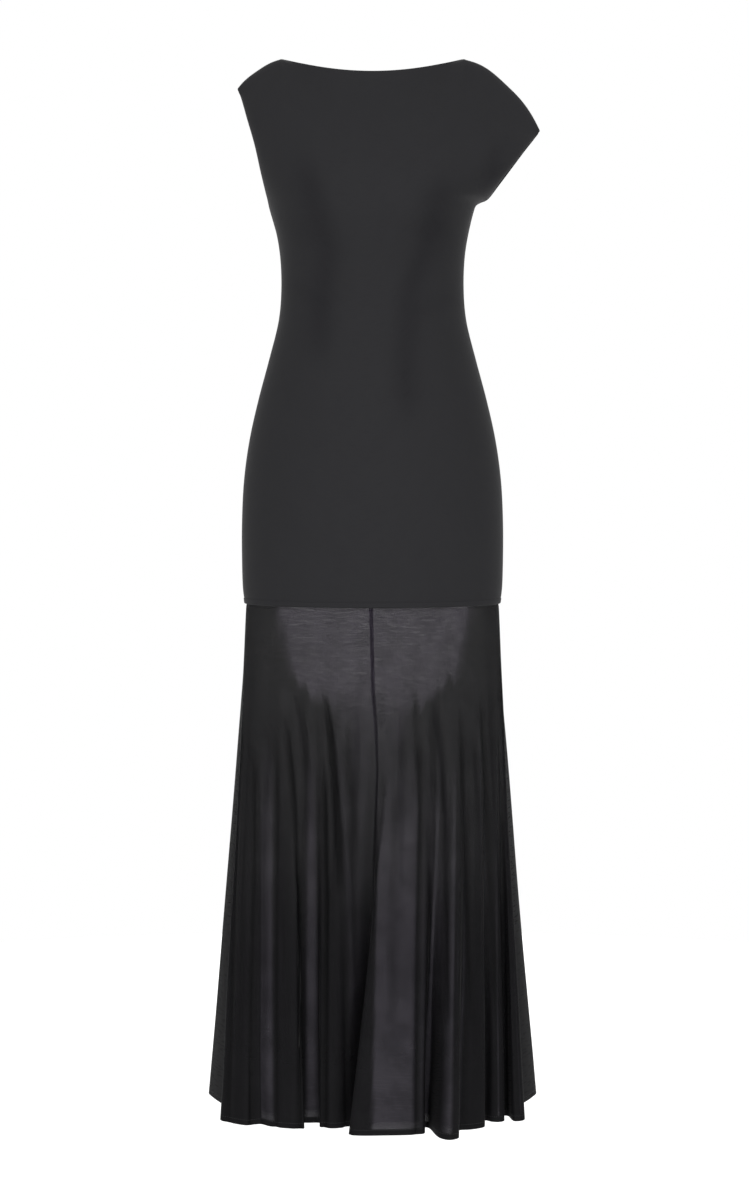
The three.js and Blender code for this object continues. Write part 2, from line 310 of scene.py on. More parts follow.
def make_piece(name: str, points: Array, faces: Array, cloth_map: Array | None = None) -> bpy.types.Object:
    """Makes a smooth mesh object.

    Args:
        name: the piece's name.
        points: its corners.
        faces: the four-sided faces between them.
        cloth_map: the place of each corner on the flat cloth.

    Returns:
        The new object.
    """
    mesh = bpy.data.meshes.new(name)
    mesh.from_pydata(points.tolist(), [], faces.tolist())
    mesh.polygons.foreach_set("use_smooth", np.ones(len(mesh.polygons), dtype=bool))
    if cloth_map is not None:
        corners = np.zeros(len(mesh.loops), dtype=np.int32)
        mesh.loops.foreach_get("vertex_index", corners)
        mesh.uv_layers.new(name="cloth").data.foreach_set("uv", cloth_map[corners].reshape(-1))
    mesh.update()
    piece = bpy.data.objects.new(name, mesh)
    bpy.context.scene.collection.objects.link(piece)
    return piece


def ring_faces(rings: int, sides: int) -> list[list[int]]:
    """Joins up rings of points.

    Args:
        rings: how many rings there are.
        sides: how many points each has.

    Returns:
        The corners of the four-sided faces between them.
    """
    return [[r * sides + i, (r + 1) * sides + i, (r + 1) * sides + (i + 1) % sides,
             r * sides + (i + 1) % sides] for r in range(rings - 1) for i in range(sides)]


def dress_piece(piece: bpy.types.Object, material: bpy.types.Material) -> None:
    """Gives a piece its material, and lets it ride on the dress.

    Args:
        piece: the piece.
        material: its finish.
    """
    piece.data.materials.append(material)
    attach(piece, BODY)


# The node group, and the finishes

def new_group(name: str, inputs: dict[str, float | str], outputs: tuple[str, ...]) -> bpy.types.NodeTree:
    """Makes an empty shader node group.

    Args:
        name: the group's name.
        inputs: each input's name with its first value, or with "vector".
        outputs: the names of its values.

    Returns:
        The group, with its input and output nodes.
    """
    group = bpy.data.node_groups.new(name, "ShaderNodeTree")
    for title, value in inputs.items():
        kind = "NodeSocketVector" if value == "vector" else "NodeSocketFloat"
        made = group.interface.new_socket(title, in_out="INPUT", socket_type=kind)
        if kind == "NodeSocketFloat":
            made.default_value = value
    for title in outputs:
        group.interface.new_socket(title, in_out="OUTPUT", socket_type="NodeSocketFloat")
    group.nodes.new("NodeGroupInput").name = "Inputs"
    group.nodes.new("NodeGroupOutput").name = "Outputs"
    return group


@dataclass
class Wiring:
    """A short way to add nodes to a tree and join them.

    A value given to a node is a number, a colour or another node's output.
    """

    tree: bpy.types.NodeTree

    def put(self, socket: bpy.types.NodeSocket, value: object) -> None:
        """Joins a socket to an output, or sets its plain value.

        Args:
            socket: the socket.
            value: what it gets.
        """
        if isinstance(value, bpy.types.NodeSocket):
            self.tree.links.new(value, socket)
        else:
            socket.default_value = value

    def fill(self, node: bpy.types.Node, values: dict[str, object]) -> None:
        """Gives a node the values for some of its inputs, by their names."""
        for title, value in values.items():
            self.put(node.inputs[title], value)

    def add(self, kind: str, values: dict[str, object] | None = None, **settings: object) -> bpy.types.Node:
        """Adds a node.

        Args:
            kind: its kind.
            values: what some of its inputs get, by their names.
            settings: its own settings.

        Returns:
            The node.
        """
        node = self.tree.nodes.new("ShaderNode" + kind)
        for title, setting in settings.items():
            setattr(node, title, setting)
        self.fill(node, values or {})
        return node

    def math(self, operation: str, a: object, b: object = 0.0, c: object = 0.0) -> bpy.types.NodeSocket:
        """Works something out.

        Args:
            operation: what the node does.
            a: the first value.
            b: the second.
            c: the third.

        Returns:
            The result.
        """
        node = self.add("Math", operation=operation)
        for socket, value in zip(node.inputs, (a, b, c)):
            self.put(socket, value)
        return node.outputs[0]

    def blend(self, share: object, low: object, high: object) -> bpy.types.NodeSocket:
        """Mixes two colours, the second of them by a share."""
        return self.add("Mix", {"Factor": share, "A": low, "B": high}, data_type="RGBA").outputs["Result"]

    def clear(self, value: object, low: float, high: float) -> bpy.types.NodeSocket:
        """Stretches the part of a value between two limits, with a smooth rise from 0 to 1."""
        limits = {"Value": value, "From Min": low, "From Max": high}
        return self.add("MapRange", limits, interpolation_type="SMOOTHSTEP").outputs["Result"]

    def span(self, value: object, low: float, high: float) -> bpy.types.NodeSocket:
        """Maps a value between 0 and 1 onto a range."""
        return self.add("MapRange", {"Value": value, "To Min": low, "To Max": high}).outputs["Result"]

    def noise(self, place: object, detail: float, roughness: float) -> bpy.types.NodeSocket:
        """The value of a Noise texture of scale one at a place."""
        look = {"Vector": place, "Scale": 1.0, "Detail": detail, "Roughness": roughness}
        return self.add("TexNoise", look).outputs["Fac"]

    def layer(self, name: str) -> bpy.types.NodeSocket:
        """A value that the cloth's own points hold."""
        return self.add("Attribute", attribute_name=name).outputs["Fac"]


@dataclass(frozen=True)
class KnitGroup:
    """The node group for fine jersey: its stitches, and the thick places of its yarn."""

    name: str = "Fine knit"
    wale: float = 0.0007
    course: float = 0.0006
    relief: float = 0.25
    level: float = 0.5
    slub: tuple[float, float] = (0.03, 0.0014)
    slub_noise: tuple[float, float] = (1.0, 0.5)
    slub_range: tuple[float, float] = (0.54, 0.66)
    cloud: tuple[float, float] = (0.032, 0.042)
    cloud_noise: tuple[float, float] = (3.0, 0.55)
    cloud_range: tuple[float, float] = (0.3, 0.7)

    def build(self) -> bpy.types.NodeTree:
        """Makes the group.

        Returns:
            The group, with stitch height, slub streaks and slow cloudiness as its outputs.
        """
        length, height = self.slub
        tree = new_group(
            self.name,
            {"Place": "vector", "Wale": self.wale, "Course": self.course, "Slub Length": length,
             "Slub Height": height},
            ("Stitch", "Slub", "Cloud"),
        )
        wire = Wiring(tree)
        given = tree.nodes["Inputs"].outputs
        split = wire.add("SeparateXYZ", {"Vector": given["Place"]}).outputs
        place = (split["X"], split["Y"])
        wale, course = self.wave(wire, place[0], given["Wale"]), self.wave(wire, place[1], given["Course"])
        stitch = wire.math("MULTIPLY_ADD", wire.math("MULTIPLY", wale, course), self.relief, self.level)
        slub = self.spots(wire, place, (given["Slub Length"], given["Slub Height"]), self.slub_noise)
        cloud = self.spots(wire, place, self.cloud, self.cloud_noise)
        wire.fill(tree.nodes["Outputs"], {
            "Stitch": wire.math("MULTIPLY_ADD", wale, self.relief, stitch),
            "Slub": wire.clear(slub, *self.slub_range),
            "Cloud": wire.clear(cloud, *self.cloud_range),
        })
        return tree

    def wave(self, wire: Wiring, place: object, pitch: object) -> bpy.types.NodeSocket:
        """A wave along the cloth that repeats at each pitch."""
        return wire.math("SINE", wire.math("MULTIPLY", wire.math("DIVIDE", place, pitch), 2.0 * math.pi))

    def spots(self, wire: Wiring, place: tuple, size: tuple,
              look: tuple[float, float]) -> bpy.types.NodeSocket:
        """Uneven spots of one length and height, by their place, size, and detail and roughness."""
        across, up = (wire.math("DIVIDE", along, step) for along, step in zip(place, size))
        return wire.noise(wire.add("CombineXYZ", {"X": across, "Y": up}).outputs[0], *look)


def start_material(name: str) -> tuple[bpy.types.Material, Wiring, bpy.types.Node]:
    """Starts a material.

    Args:
        name: the material's name.

    Returns:
        The material, its wiring and its shader.
    """
    material = bpy.data.materials.new(name)
    material.use_nodes = True
    tree = material.node_tree
    return material, Wiring(tree), tree.nodes["Principled BSDF"]


@dataclass(frozen=True)
class ClothFinish:
    """What the finishes of the two jerseys share."""

    name: str
    wale: float
    course: float
    slub: tuple[float, float]
    tones: tuple[tuple[str, float], ...]
    tone_level: float
    roughness: tuple[float, float]
    specular: float
    sheen: float
    sheen_roughness: float
    stitch_depth: float
    bump: float = 0.6

    def start(self, knit: bpy.types.NodeTree) -> tuple[bpy.types.Material, Wiring, bpy.types.Node,
                                                       bpy.types.Node]:
        """Starts the material with its knit, its gloss and its raised stitches.

        Args:
            knit: the fine knit group.

        Returns:
            The material, its wiring, its shader and the knit's node.
        """
        material, wire, shader = start_material(self.name)
        place = wire.add("UVMap", uv_map="cloth").outputs["UV"]
        length, height = self.slub
        cloth = wire.add("Group", {"Place": place, "Wale": self.wale, "Course": self.course,
                                   "Slub Length": length, "Slub Height": height}, node_tree=knit)
        stitches = wire.math("ADD", cloth.outputs["Stitch"], cloth.outputs["Slub"])
        bump = wire.add("Bump", {"Strength": self.bump, "Distance": self.stitch_depth, "Height": stitches})
        wire.fill(shader, {
            "Roughness": wire.span(cloth.outputs["Slub"], *self.roughness),
            "Specular IOR Level": self.specular,
            "Sheen Weight": self.sheen,
            "Sheen Roughness": self.sheen_roughness,
            "Normal": bump.outputs["Normal"],
        })
        return material, wire, shader, cloth

    def tone(self, wire: Wiring, cloth: bpy.types.Node) -> bpy.types.NodeSocket:
        """Sums up the knit's unevenness.

        Args:
            wire: the material's wiring.
            cloth: the knit's node.

        Returns:
            A share from the darkest to the lightest yarn.
        """
        tone = self.tone_level
        for title, weight in self.tones:
            tone = wire.math("MULTIPLY_ADD", cloth.outputs[title], weight, tone)
        return tone


@dataclass(frozen=True)
class JerseyFinish(ClothFinish):
    """The opaque matte jersey of the bodice."""

    name: str = "matte_jersey"
    wale: float = 0.0007
    course: float = 0.0006
    slub: tuple[float, float] = (0.018, 0.0012)
    tones: tuple[tuple[str, float], ...] = (("Slub", 0.25), ("Cloud", 0.2), ("Stitch", 0.2))
    tone_level: float = 0.35
    dark: tuple[float, ...] = (0.0124, 0.0123, 0.0135, 1.0)
    light: tuple[float, ...] = (0.0146, 0.0145, 0.0159, 1.0)
    # Painted shade: the darker colour of the creases and falls
    painted_crease_shade: tuple[float, ...] = (0.0098, 0.0096, 0.0110, 1.0)
    roughness: tuple[float, float] = (0.78, 0.9)
    specular: float = 0.1
    sheen: float = 0.078
    sheen_roughness: float = 0.36
    stitch_depth: float = 0.00006

    def build(self, knit: bpy.types.NodeTree) -> bpy.types.Material:
        """Makes the material.

        Args:
            knit: the fine knit group.

        Returns:
            The material, with painted shade where the creases and falls sink the cloth.
        """
        material, wire, shader, cloth = self.start(knit)
        colour = wire.blend(self.tone(wire, cloth), self.dark, self.light)
        # Paints shade into the creases and falls, by how deep they sink the cloth
        wire.fill(shader, {"Base Color": wire.blend(wire.layer("painted_crease_shade"), colour, self.painted_crease_shade)})
        return material


@dataclass(frozen=True)
class SheerFinish(ClothFinish):
    """The thin slub jersey of the skirt, which lets some light through where it is stretched."""

    name: str = "sheer_slub_jersey"
    wale: float = 0.0006
    course: float = 0.0005
    slub: tuple[float, float] = (0.021, 0.0024)
    tones: tuple[tuple[str, float], ...] = (("Slub", 0.45), ("Cloud", 0.45))
    tone_level: float = 0.16
    dark: tuple[float, ...] = (0.0034, 0.0033, 0.0038, 1.0)
    light: tuple[float, ...] = (0.0048, 0.0046, 0.0053, 1.0)
    # Painted sheen: lighter colours for shining crests, ridges and stretched cloth, with a tint where it is
    # stretched
    painted_sheen_dark: tuple[float, ...] = (0.0162, 0.0150, 0.0183, 1.0)
    painted_sheen_light: tuple[float, ...] = (0.0266, 0.0245, 0.0294, 1.0)
    painted_sheen_cloud: tuple[float, float] = (0.3, 0.8)
    stretched_sheen_dark: tuple[float, ...] = (0.0175, 0.0146, 0.0212, 1.0)
    stretched_sheen_light: tuple[float, ...] = (0.0235, 0.0195, 0.0284, 1.0)
    stretched_sheen_range: tuple[float, float] = (0.05, 0.17)
    # Painted shade: the dark colour of the tucks
    tucked_with_painted_shade: tuple[float, ...] = (0.0014, 0.0014, 0.0016, 1.0)
    roughness: tuple[float, float] = (0.66, 0.8)
    specular: float = 0.06
    sheen: float = 0.035
    sheen_roughness: float = 0.25
    stitch_depth: float = 0.00001
    slub_opening: float = 0.58
    slub_painted_sheen: tuple[float, float] = (0.3, 1.0)
    cloud_opening: float = 0.14

    def build(self, knit: bpy.types.NodeTree) -> bpy.types.Material:
        """Makes the material.

        Args:
            knit: the fine knit group.

        Returns:
            The material, which follows the openness of the cloth's points, their painted sheen and the
            painted shade of their tucks.
        """
        material, wire, shader, cloth = self.start(knit)
        openness, painted_sheen = wire.layer("openness"), wire.layer("painted_sheen")
        slub, cloud = cloth.outputs["Slub"], cloth.outputs["Cloud"]
        tone = self.tone(wire, cloth)
        plain = wire.blend(tone, self.dark, self.light)
        # Painted sheen: lighter colours where the points' sheen layer says, tinted where the cloth is
        # stretched
        painted_sheen_colour = wire.blend(tone, self.painted_sheen_dark, self.painted_sheen_light)
        stretched_sheen = wire.blend(tone, self.stretched_sheen_dark, self.stretched_sheen_light)
        painted_sheen_colour = wire.blend(wire.clear(openness, *self.stretched_sheen_range), painted_sheen_colour, stretched_sheen)
        painted_sheen_share = wire.math("MULTIPLY", painted_sheen, wire.math("MULTIPLY_ADD", cloud, *self.painted_sheen_cloud))
        colour = wire.blend(painted_sheen_share, plain, painted_sheen_colour)
        # Paints shade into the tucks
        colour = wire.blend(wire.layer("tucked_with_painted_shade"), colour, self.tucked_with_painted_shade)
        uneven = wire.math("MULTIPLY_ADD", cloud, self.cloud_opening, 1.0 - 0.5 * self.cloud_opening)
        raised = wire.math("MULTIPLY", slub, wire.span(painted_sheen, *self.slub_painted_sheen))
        uneven = wire.math("MULTIPLY_ADD", raised, self.slub_opening, uneven)
        passing = wire.math("SQRT", wire.math("MULTIPLY", openness, uneven))
        wire.fill(shader, {"Base Color": colour, "Alpha": wire.math("SUBTRACT", 1.0, passing)})
        return material


@dataclass(frozen=True)
class ThreadFinish:
    """The sewing thread, a shade glossier than the cloth."""

    name: str = "sewing_thread"
    dark: tuple[float, ...] = (0.008, 0.008, 0.009, 1.0)
    light: tuple[float, ...] = (0.02, 0.02, 0.022, 1.0)
    twist: float = 0.0007
    unevenness: float = 1.5
    roughness: float = 0.5

    def build(self) -> bpy.types.Material:
        """Makes the material.

        Returns:
            The material, with the light and dark of its twist.
        """
        material, wire, shader = start_material(self.name)
        place = wire.add("TexCoord").outputs["Object"]
        twist = {"Vector": place, "Scale": 1.0 / self.twist, "Distortion": self.unevenness}
        wave = wire.add("TexWave", twist)
        colour = wire.blend(wave.outputs["Fac"], self.dark, self.light)
        wire.fill(shader, {"Base Color": colour, "Roughness": self.roughness})
        return material


# The bodice

@dataclass(frozen=True)
class Section:
    """A section of the bodice, by its middle, its two edges and its reach to the front and back."""

    name: str
    drop: float
    left: float
    left_drop: float
    left_gape: float
    right: float
    right_drop: float
    right_gape: float
    front: float
    back: float
    wrap: float = 0.5


def ring(name: str, drop: float, half: float, front: float, back: float) -> Section:
    """A level section that closes at the side seams."""
    return Section(name, drop, -half, drop, 0.0, half, drop, 0.0, front, back)


# name, drop, left edge, its drop and gape, right edge, its drop and gape, front, back, wrap
SECTIONS = (
    Section("collarbone", 0.056, -0.1785, 0.052, 0.012, 0.2210, 0.106, 0.015, 0.082, 0.070, 0.62),
    Section("upper chest", 0.092, -0.169, 0.084, 0.025, 0.208, 0.122, 0.034, 0.099, 0.082, 0.60),
    Section("chest", 0.128, -0.1585, 0.120, 0.033, 0.1905, 0.145, 0.047, 0.112, 0.089, 0.58),
    Section("armpit", 0.160, -0.1505, 0.156, 0.028, 0.171, 0.171, 0.042, 0.120, 0.093, 0.55),
    Section("armhole foot", 0.182, -0.145, 0.180, 0.012, 0.1565, 0.190, 0.017, 0.123, 0.094, 0.52),
    Section("underarm", 0.196, -0.142, 0.193, 0.0, 0.1465, 0.196, 0.0, 0.124, 0.094),
    Section("side top", 0.206, -0.1395, 0.204, 0.0, 0.1415, 0.1995, 0.0, 0.1235, 0.0935),
    Section("side", 0.217, -0.1363, 0.215, 0.0, 0.1386, 0.206, 0.0, 0.122, 0.0925),
    ring("under bust", 0.240, 0.1295, 0.116, 0.090),
    ring("high waist", 0.272, 0.1248, 0.107, 0.086),
    ring("waist", 0.313, 0.1236, 0.099, 0.082),
    ring("low waist", 0.354, 0.127, 0.098, 0.084),
    ring("high hip", 0.408, 0.1402, 0.104, 0.094),
    ring("upper hip", 0.462, 0.1546, 0.110, 0.106),
    ring("hip", 0.516, 0.1666, 0.115, 0.116),
    ring("full hip", 0.570, 0.174, 0.118, 0.121),
    ring("seat", 0.625, 0.1768, 0.119, 0.120),
    ring("thigh", 0.680, 0.1768, 0.118, 0.116),
    ring("above band", 0.716, 0.1756, 0.1162, 0.1136),
    ring("band top", 0.730, 0.174, 0.1152, 0.1122),
    ring("hip seam", 0.737, 0.173, 0.1145, 0.1115),
)

# name, top x and z, foot x and z, width, depth
BODICE_CREASES = {
    Side.FRONT: (
        Crease("under the left arm", (-0.150, -0.190), (-0.075, -0.265), 0.016, 0.0011),
        Crease("under the sleeve", (0.156, -0.186), (0.080, -0.280), 0.018, 0.0014),
        Crease("sleeve fold", (0.178, -0.108), (0.132, -0.212), 0.012, 0.0016),
        Crease("left waist", (-0.122, -0.300), (-0.055, -0.342), 0.009, 0.0007),
        Crease("right waist", (0.122, -0.318), (0.048, -0.352), 0.010, 0.0008),
    ),
    Side.BACK: (
        Crease("left back waist", (-0.120, -0.296), (-0.030, -0.330), 0.010, 0.0011),
        Crease("right back waist", (0.120, -0.330), (0.022, -0.364), 0.011, 0.0012),
        Crease("back below the sleeve", (0.160, -0.172), (0.078, -0.262), 0.015, 0.0013),
    ),
}
# name, line of heights and places from its top, width, depth, fade
BODICE_FALLS = {
    Side.FRONT: (
        Fall("left of the middle", ((-0.118, -0.098), (-0.190, -0.082), (-0.266, -0.062), (-0.331, -0.069),
                                    (-0.430, -0.076)), 0.019, 0.0026),
        Fall("right of the middle", ((-0.140, 0.097), (-0.233, 0.083), (-0.318, 0.052), (-0.400, 0.046),
                                     (-0.520, 0.048)), 0.018, 0.0026, 0.08),
        Fall("sleeve foot", ((-0.140, 0.176), (-0.186, 0.150)), 0.011, 0.0016, 0.02),
        Fall("under the right bust", ((-0.208, 0.080), (-0.262, 0.066)), 0.022, 0.0012, 0.03),
    ),
    Side.BACK: (
        Fall("left of the back", ((-0.200, -0.070), (-0.300, -0.055), (-0.420, -0.062)), 0.020, 0.0022),
        Fall("right of the back", ((-0.170, 0.078), (-0.290, 0.058), (-0.460, 0.066)), 0.018, 0.0024),
    ),
}


@dataclass
class Bodice:
    """The fitted opaque part, with a front and a back cut in one from neckline to hip seam."""

    cloth: float = 0.0011
    left_tip: tuple[float, float] = (-0.182, 0.040)
    right_tip: tuple[float, float] = (0.2255, 0.096)
    neck_half: float = 0.124
    neck_drop: dict[Side, float] = field(default_factory=lambda: {Side.FRONT: 0.024, Side.BACK: 0.044})
    neck_reach: dict[Side, float] = field(default_factory=lambda: {Side.FRONT: 0.070, Side.BACK: 0.058})
    neck_roundness: float = 0.75
    shoulder_bow: tuple[float, float] = (0.006, 0.0188)
    bow_skew: float = 1.2
    bow_fullness: float = 3.0
    shoulder_roll: tuple[float, float] = (0.017, 0.004)
    neck_roll: tuple[float, float] = (0.004, 0.013)
    roll_blend: tuple[float, float] = (-0.006, 0.040)
    bust: dict[str, float] = field(default_factory=lambda: {
        "apart": 0.082, "drop": 0.188, "rise": 0.008, "wide": 0.052, "high": 0.062})
    edge_lift: float = 1.5
    seam_gap: float = 0.00002
    seam_reach: float = 0.0003
    band_top: float = 0.7300
    band_rise: float = 0.0006
    seam_drop: float = 0.737
    band_edge: float = 0.0006
    curl: tuple[float, float] = (0.0022, 0.0019)
    curl_turn: float = 0.96
    groove: tuple[float, float] = (0.0007, 0.00035)
    groove_rise: float = 0.0009
    pucker_height: float = 0.00016
    pucker_reach: float = 0.004
    pucker_waves: tuple[float, ...] = (610.0, 171.0, 283.0)
    pucker_start: dict[Side, float] = field(default_factory=lambda: {Side.FRONT: 0.6, Side.BACK: 2.1})
    pucker_skew: float = 1.3
    pucker_share: float = 0.6
    full_fold: float = 0.0032
    columns: int = 150
    edge_turns: tuple[float, ...] = (0.0, 0.0035, 0.008, 0.014)
    edge_clear: float = 1.6
    top_rows: tuple[float, ...] = (0.0, 0.022, 0.05, 0.09, 0.15, 0.25, 0.4, 0.55, 0.7, 0.85)
    rows_each: int = 7
    rows_above_band: tuple[float, ...] = (0.0, 0.3, 0.6, 0.78, 0.88, 0.93, 0.96, 0.985)
    band_rows: tuple[float, ...] = (
        0.0, 0.03, 0.06, 0.1, 0.16, 0.3, 0.45, 0.6, 0.72, 0.8, 0.87, 0.93, 0.97, 1.0)
    flat_size: dict[Side, tuple[float, float]] = field(default_factory=lambda: {
        Side.FRONT: (0.50, 0.77), Side.BACK: (0.50, 0.76)})
    flat_area: dict[Side, float] = field(default_factory=lambda: {Side.FRONT: 0.30, Side.BACK: 0.29})

    def places(self) -> Array:
        """The places of the columns, closest together at the edges of the panel.

        Returns:
            The places, from -1 to 1.
        """
        even = np.linspace(0.0, math.pi, self.columns + 1)[1:-1]
        edge = np.array(self.edge_turns)
        clear = self.edge_clear * edge[-1]
        turns = np.concatenate([edge, even[even > clear], math.pi - edge])
        turns = np.unique(turns[(turns <= math.pi - clear) | (turns >= math.pi - edge[-1])])
        places = -np.cos(turns)
        for x in (-self.neck_half, self.neck_half):
            corner = 2.0 * (x - self.left_tip[0]) / (self.right_tip[0] - self.left_tip[0]) - 1.0
            places[np.argmin(np.abs(places - corner))] = corner
        return places

    def top_edge(self, x: Array, side: Side) -> Array:
        """The top edge of a panel: a shoulder seam, the neckline and the other shoulder seam.

        Args:
            x: the places across.
            side: front or back.

        Returns:
            The points of the edge.
        """
        tip = np.where(x < 0, self.left_tip[0], self.right_tip[0])
        tip_drop = np.where(x < 0, self.left_tip[1], self.right_tip[1])
        bow = np.where(x < 0, self.shoulder_bow[0], self.shoulder_bow[1])
        share = np.clip((np.abs(x) - self.neck_half) / (np.abs(tip) - self.neck_half), 0.0, 1.0)
        from_middle = np.abs(2.0 * share ** self.bow_skew - 1.0)
        shoulder = tip_drop * share - bow * (1.0 - from_middle ** self.bow_fullness)
        scoop = np.maximum(0.0, 1.0 - (x / self.neck_half) ** 2)
        reach = self.neck_reach[side] * scoop ** self.neck_roundness
        on_neck = np.abs(x) < self.neck_half
        drop = np.where(on_neck, self.neck_drop[side] * scoop, shoulder)
        y = self.seam_gap / 2.0 + np.where(on_neck, reach, 0.0)
        return np.stack([x, side.value * y, -drop], axis=-1)

    def top_roll(self, x: Array, side: Side) -> Array:
        """The line just below the top edge, which rounds the cloth over the shoulder.

        Args:
            x: the places across.
            side: front or back.

        Returns:
            The points of the line.
        """
        edge = self.top_edge(x, side)
        neck = smooth(*self.roll_blend, self.neck_half - np.abs(x))
        out, down = (at_shoulder + (at_neck - at_shoulder) * neck
                     for at_shoulder, at_neck in zip(self.shoulder_roll, self.neck_roll))
        edge[:, 1] += side.value * out
        edge[:, 2] -= down
        return edge

    def section_line(self, section: Section, across: Array, side: Side) -> Array:
        """One section of a panel.

        Args:
            section: the section.
            across: places from -1 to 1.
            side: front or back.

        Returns:
            Its points.
        """
        x = section.left + (section.right - section.left) * (across + 1.0) / 2.0
        edge_drop = np.where(across < 0, section.left_drop, section.right_drop)
        gape = np.where(across < 0, section.left_gape, section.right_gape)
        drop = section.drop + (edge_drop - section.drop) * np.abs(across) ** self.edge_lift
        reach = section.front if side is Side.FRONT else section.back
        arch = np.maximum(0.0, 1.0 - across ** 2) ** section.wrap
        y = self.seam_gap / 2.0 + gape + (reach - gape) * arch
        if side is Side.FRONT:
            off = ((np.abs(x) - self.bust["apart"]) / self.bust["wide"]) ** 2
            off = off + ((drop - self.bust["drop"]) / self.bust["high"]) ** 2
            y = y + self.bust["rise"] * np.exp(-off) * arch
        return np.stack([x, side.value * y, -drop], axis=-1)

    def row_places(self, knots: int) -> Array:
        """The places of the rows, counted in knots, closest together at the top edge and the band.

        Args:
            knots: how many knots each column has.

        Returns:
            The places, from 0 to the last knot.
        """
        last = knots - 1
        body = np.arange(1.0, last - 2.0, 1.0 / self.rows_each)
        above = last - 2.0 + np.array(self.rows_above_band)
        band = last - 1.0 + np.array(self.band_rows)
        return np.unique(np.concatenate([self.top_rows, body[body < last - 2.0], above, band]))

    def surface(self, side: Side) -> tuple[Array, Array, Array]:
        """The outer face of a panel.

        Args:
            side: front or back.

        Returns:
            Its points, their outward directions, and how far each lies in a soft fold, which sets its
            painted shade.
        """
        across = self.places()
        x = self.left_tip[0] + (self.right_tip[0] - self.left_tip[0]) * (across + 1.0) / 2.0
        knots = [self.top_edge(x, side), self.top_roll(x, side)]
        knots += [self.section_line(section, across, side) for section in SECTIONS]
        knots = [2.0 * knots[0] - knots[1], *knots, 2.0 * knots[-1] - knots[-2]]
        rows = []
        for place in self.row_places(len(knots) - 2):
            k = min(int(place), len(knots) - 4)
            rows.append(spline(*knots[k:k + 4], place - k))
        points = np.stack(rows)
        outward = self.outward(points, side)
        sink = sum(crease.sink(points) for crease in BODICE_CREASES[side])
        sink = sink + sum(fall.depth * fall.share(points) for fall in BODICE_FALLS[side])
        # How deep the creases and falls sink the cloth sets the jersey's painted shade
        painted_crease_shade = np.clip(sink / self.full_fold, 0.0, 1.0)
        x, drop = points[..., 0], -points[..., 2]
        band = smooth(self.band_top - self.band_edge, self.band_top + self.band_edge, drop)
        groove = bell(drop - self.band_top + self.groove_rise, self.groove[0])
        pucker = self.puckers(x, side) * smooth(self.band_top - self.pucker_reach, self.seam_drop, drop)
        turn = np.clip((drop - self.seam_drop + self.curl[0]) / self.curl[0], 0.0, 1.0)
        curl = self.curl[1] * (1.0 - np.sqrt(1.0 - self.curl_turn * turn ** 2)) * flatten(x)
        rise = self.band_rise * band - self.groove[1] * groove - curl + pucker - sink
        points = points + outward * rise[..., None]
        return points, self.outward(points, side), painted_crease_shade

    def puckers(self, x: Array, side: Side) -> Array:
        """The small uneven waves that the sewing leaves in the hip band.

        Args:
            x: places across.
            side: front or back.

        Returns:
            How far they raise the cloth.
        """
        start = self.pucker_start[side]
        fine, slow, other = self.pucker_waves
        crossed = np.sin(x * fine + start) * np.sin(x * slow + self.pucker_skew * start)
        return self.pucker_height * (crossed + self.pucker_share * np.sin(x * other - start))

    def outward(self, points: Array, side: Side) -> Array:
        """The outward direction at each point of a panel.

        Args:
            points: its points.
            side: front or back.

        Returns:
            The directions, square to the seams where the panel ends in one.
        """
        across = np.gradient(points, axis=1)
        down = np.gradient(points, axis=0)
        outward = unit(side.value * np.cross(across, down))
        on_seam = np.abs(points[..., 1]) < self.seam_reach
        edge = np.zeros_like(on_seam)
        edge[0, :] = edge[:, 0] = edge[:, -1] = True
        outward[on_seam & edge, 1] = 0.0
        outward[-1, :, 2] = 0.0
        return unit(outward)

    def build(self, material: bpy.types.Material) -> list[bpy.types.Object]:
        """Makes the front and the back.

        Args:
            material: the jersey.

        Returns:
            The two panels.
        """
        panels = []
        for side, node in ((Side.FRONT, "bodice_front"), (Side.BACK, "bodice_back")):
            points, outward, painted_crease_shade = self.surface(side)
            if side is Side.BACK:
                points, outward, painted_crease_shade = points[:, ::-1], outward[:, ::-1], painted_crease_shade[:, ::-1]
            panel = Shell(points, outward, np.array(self.cloth)).build(node + "_cloth", {"painted_crease_shade": painted_crease_shade})
            dress_piece(panel, material)
            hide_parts(node)
            panels.append(panel)
        return panels


# The skirt

@dataclass(frozen=True)
class Fold:
    """A face of the hem: a crest or a tuck, from one edge to the other in plan."""

    name: str
    start: tuple[float, float]
    end: tuple[float, float]
    crown: float
    at: float
    begins: float
    taut: tuple[float, float, float] = (0.0, 0.0, 0.0)
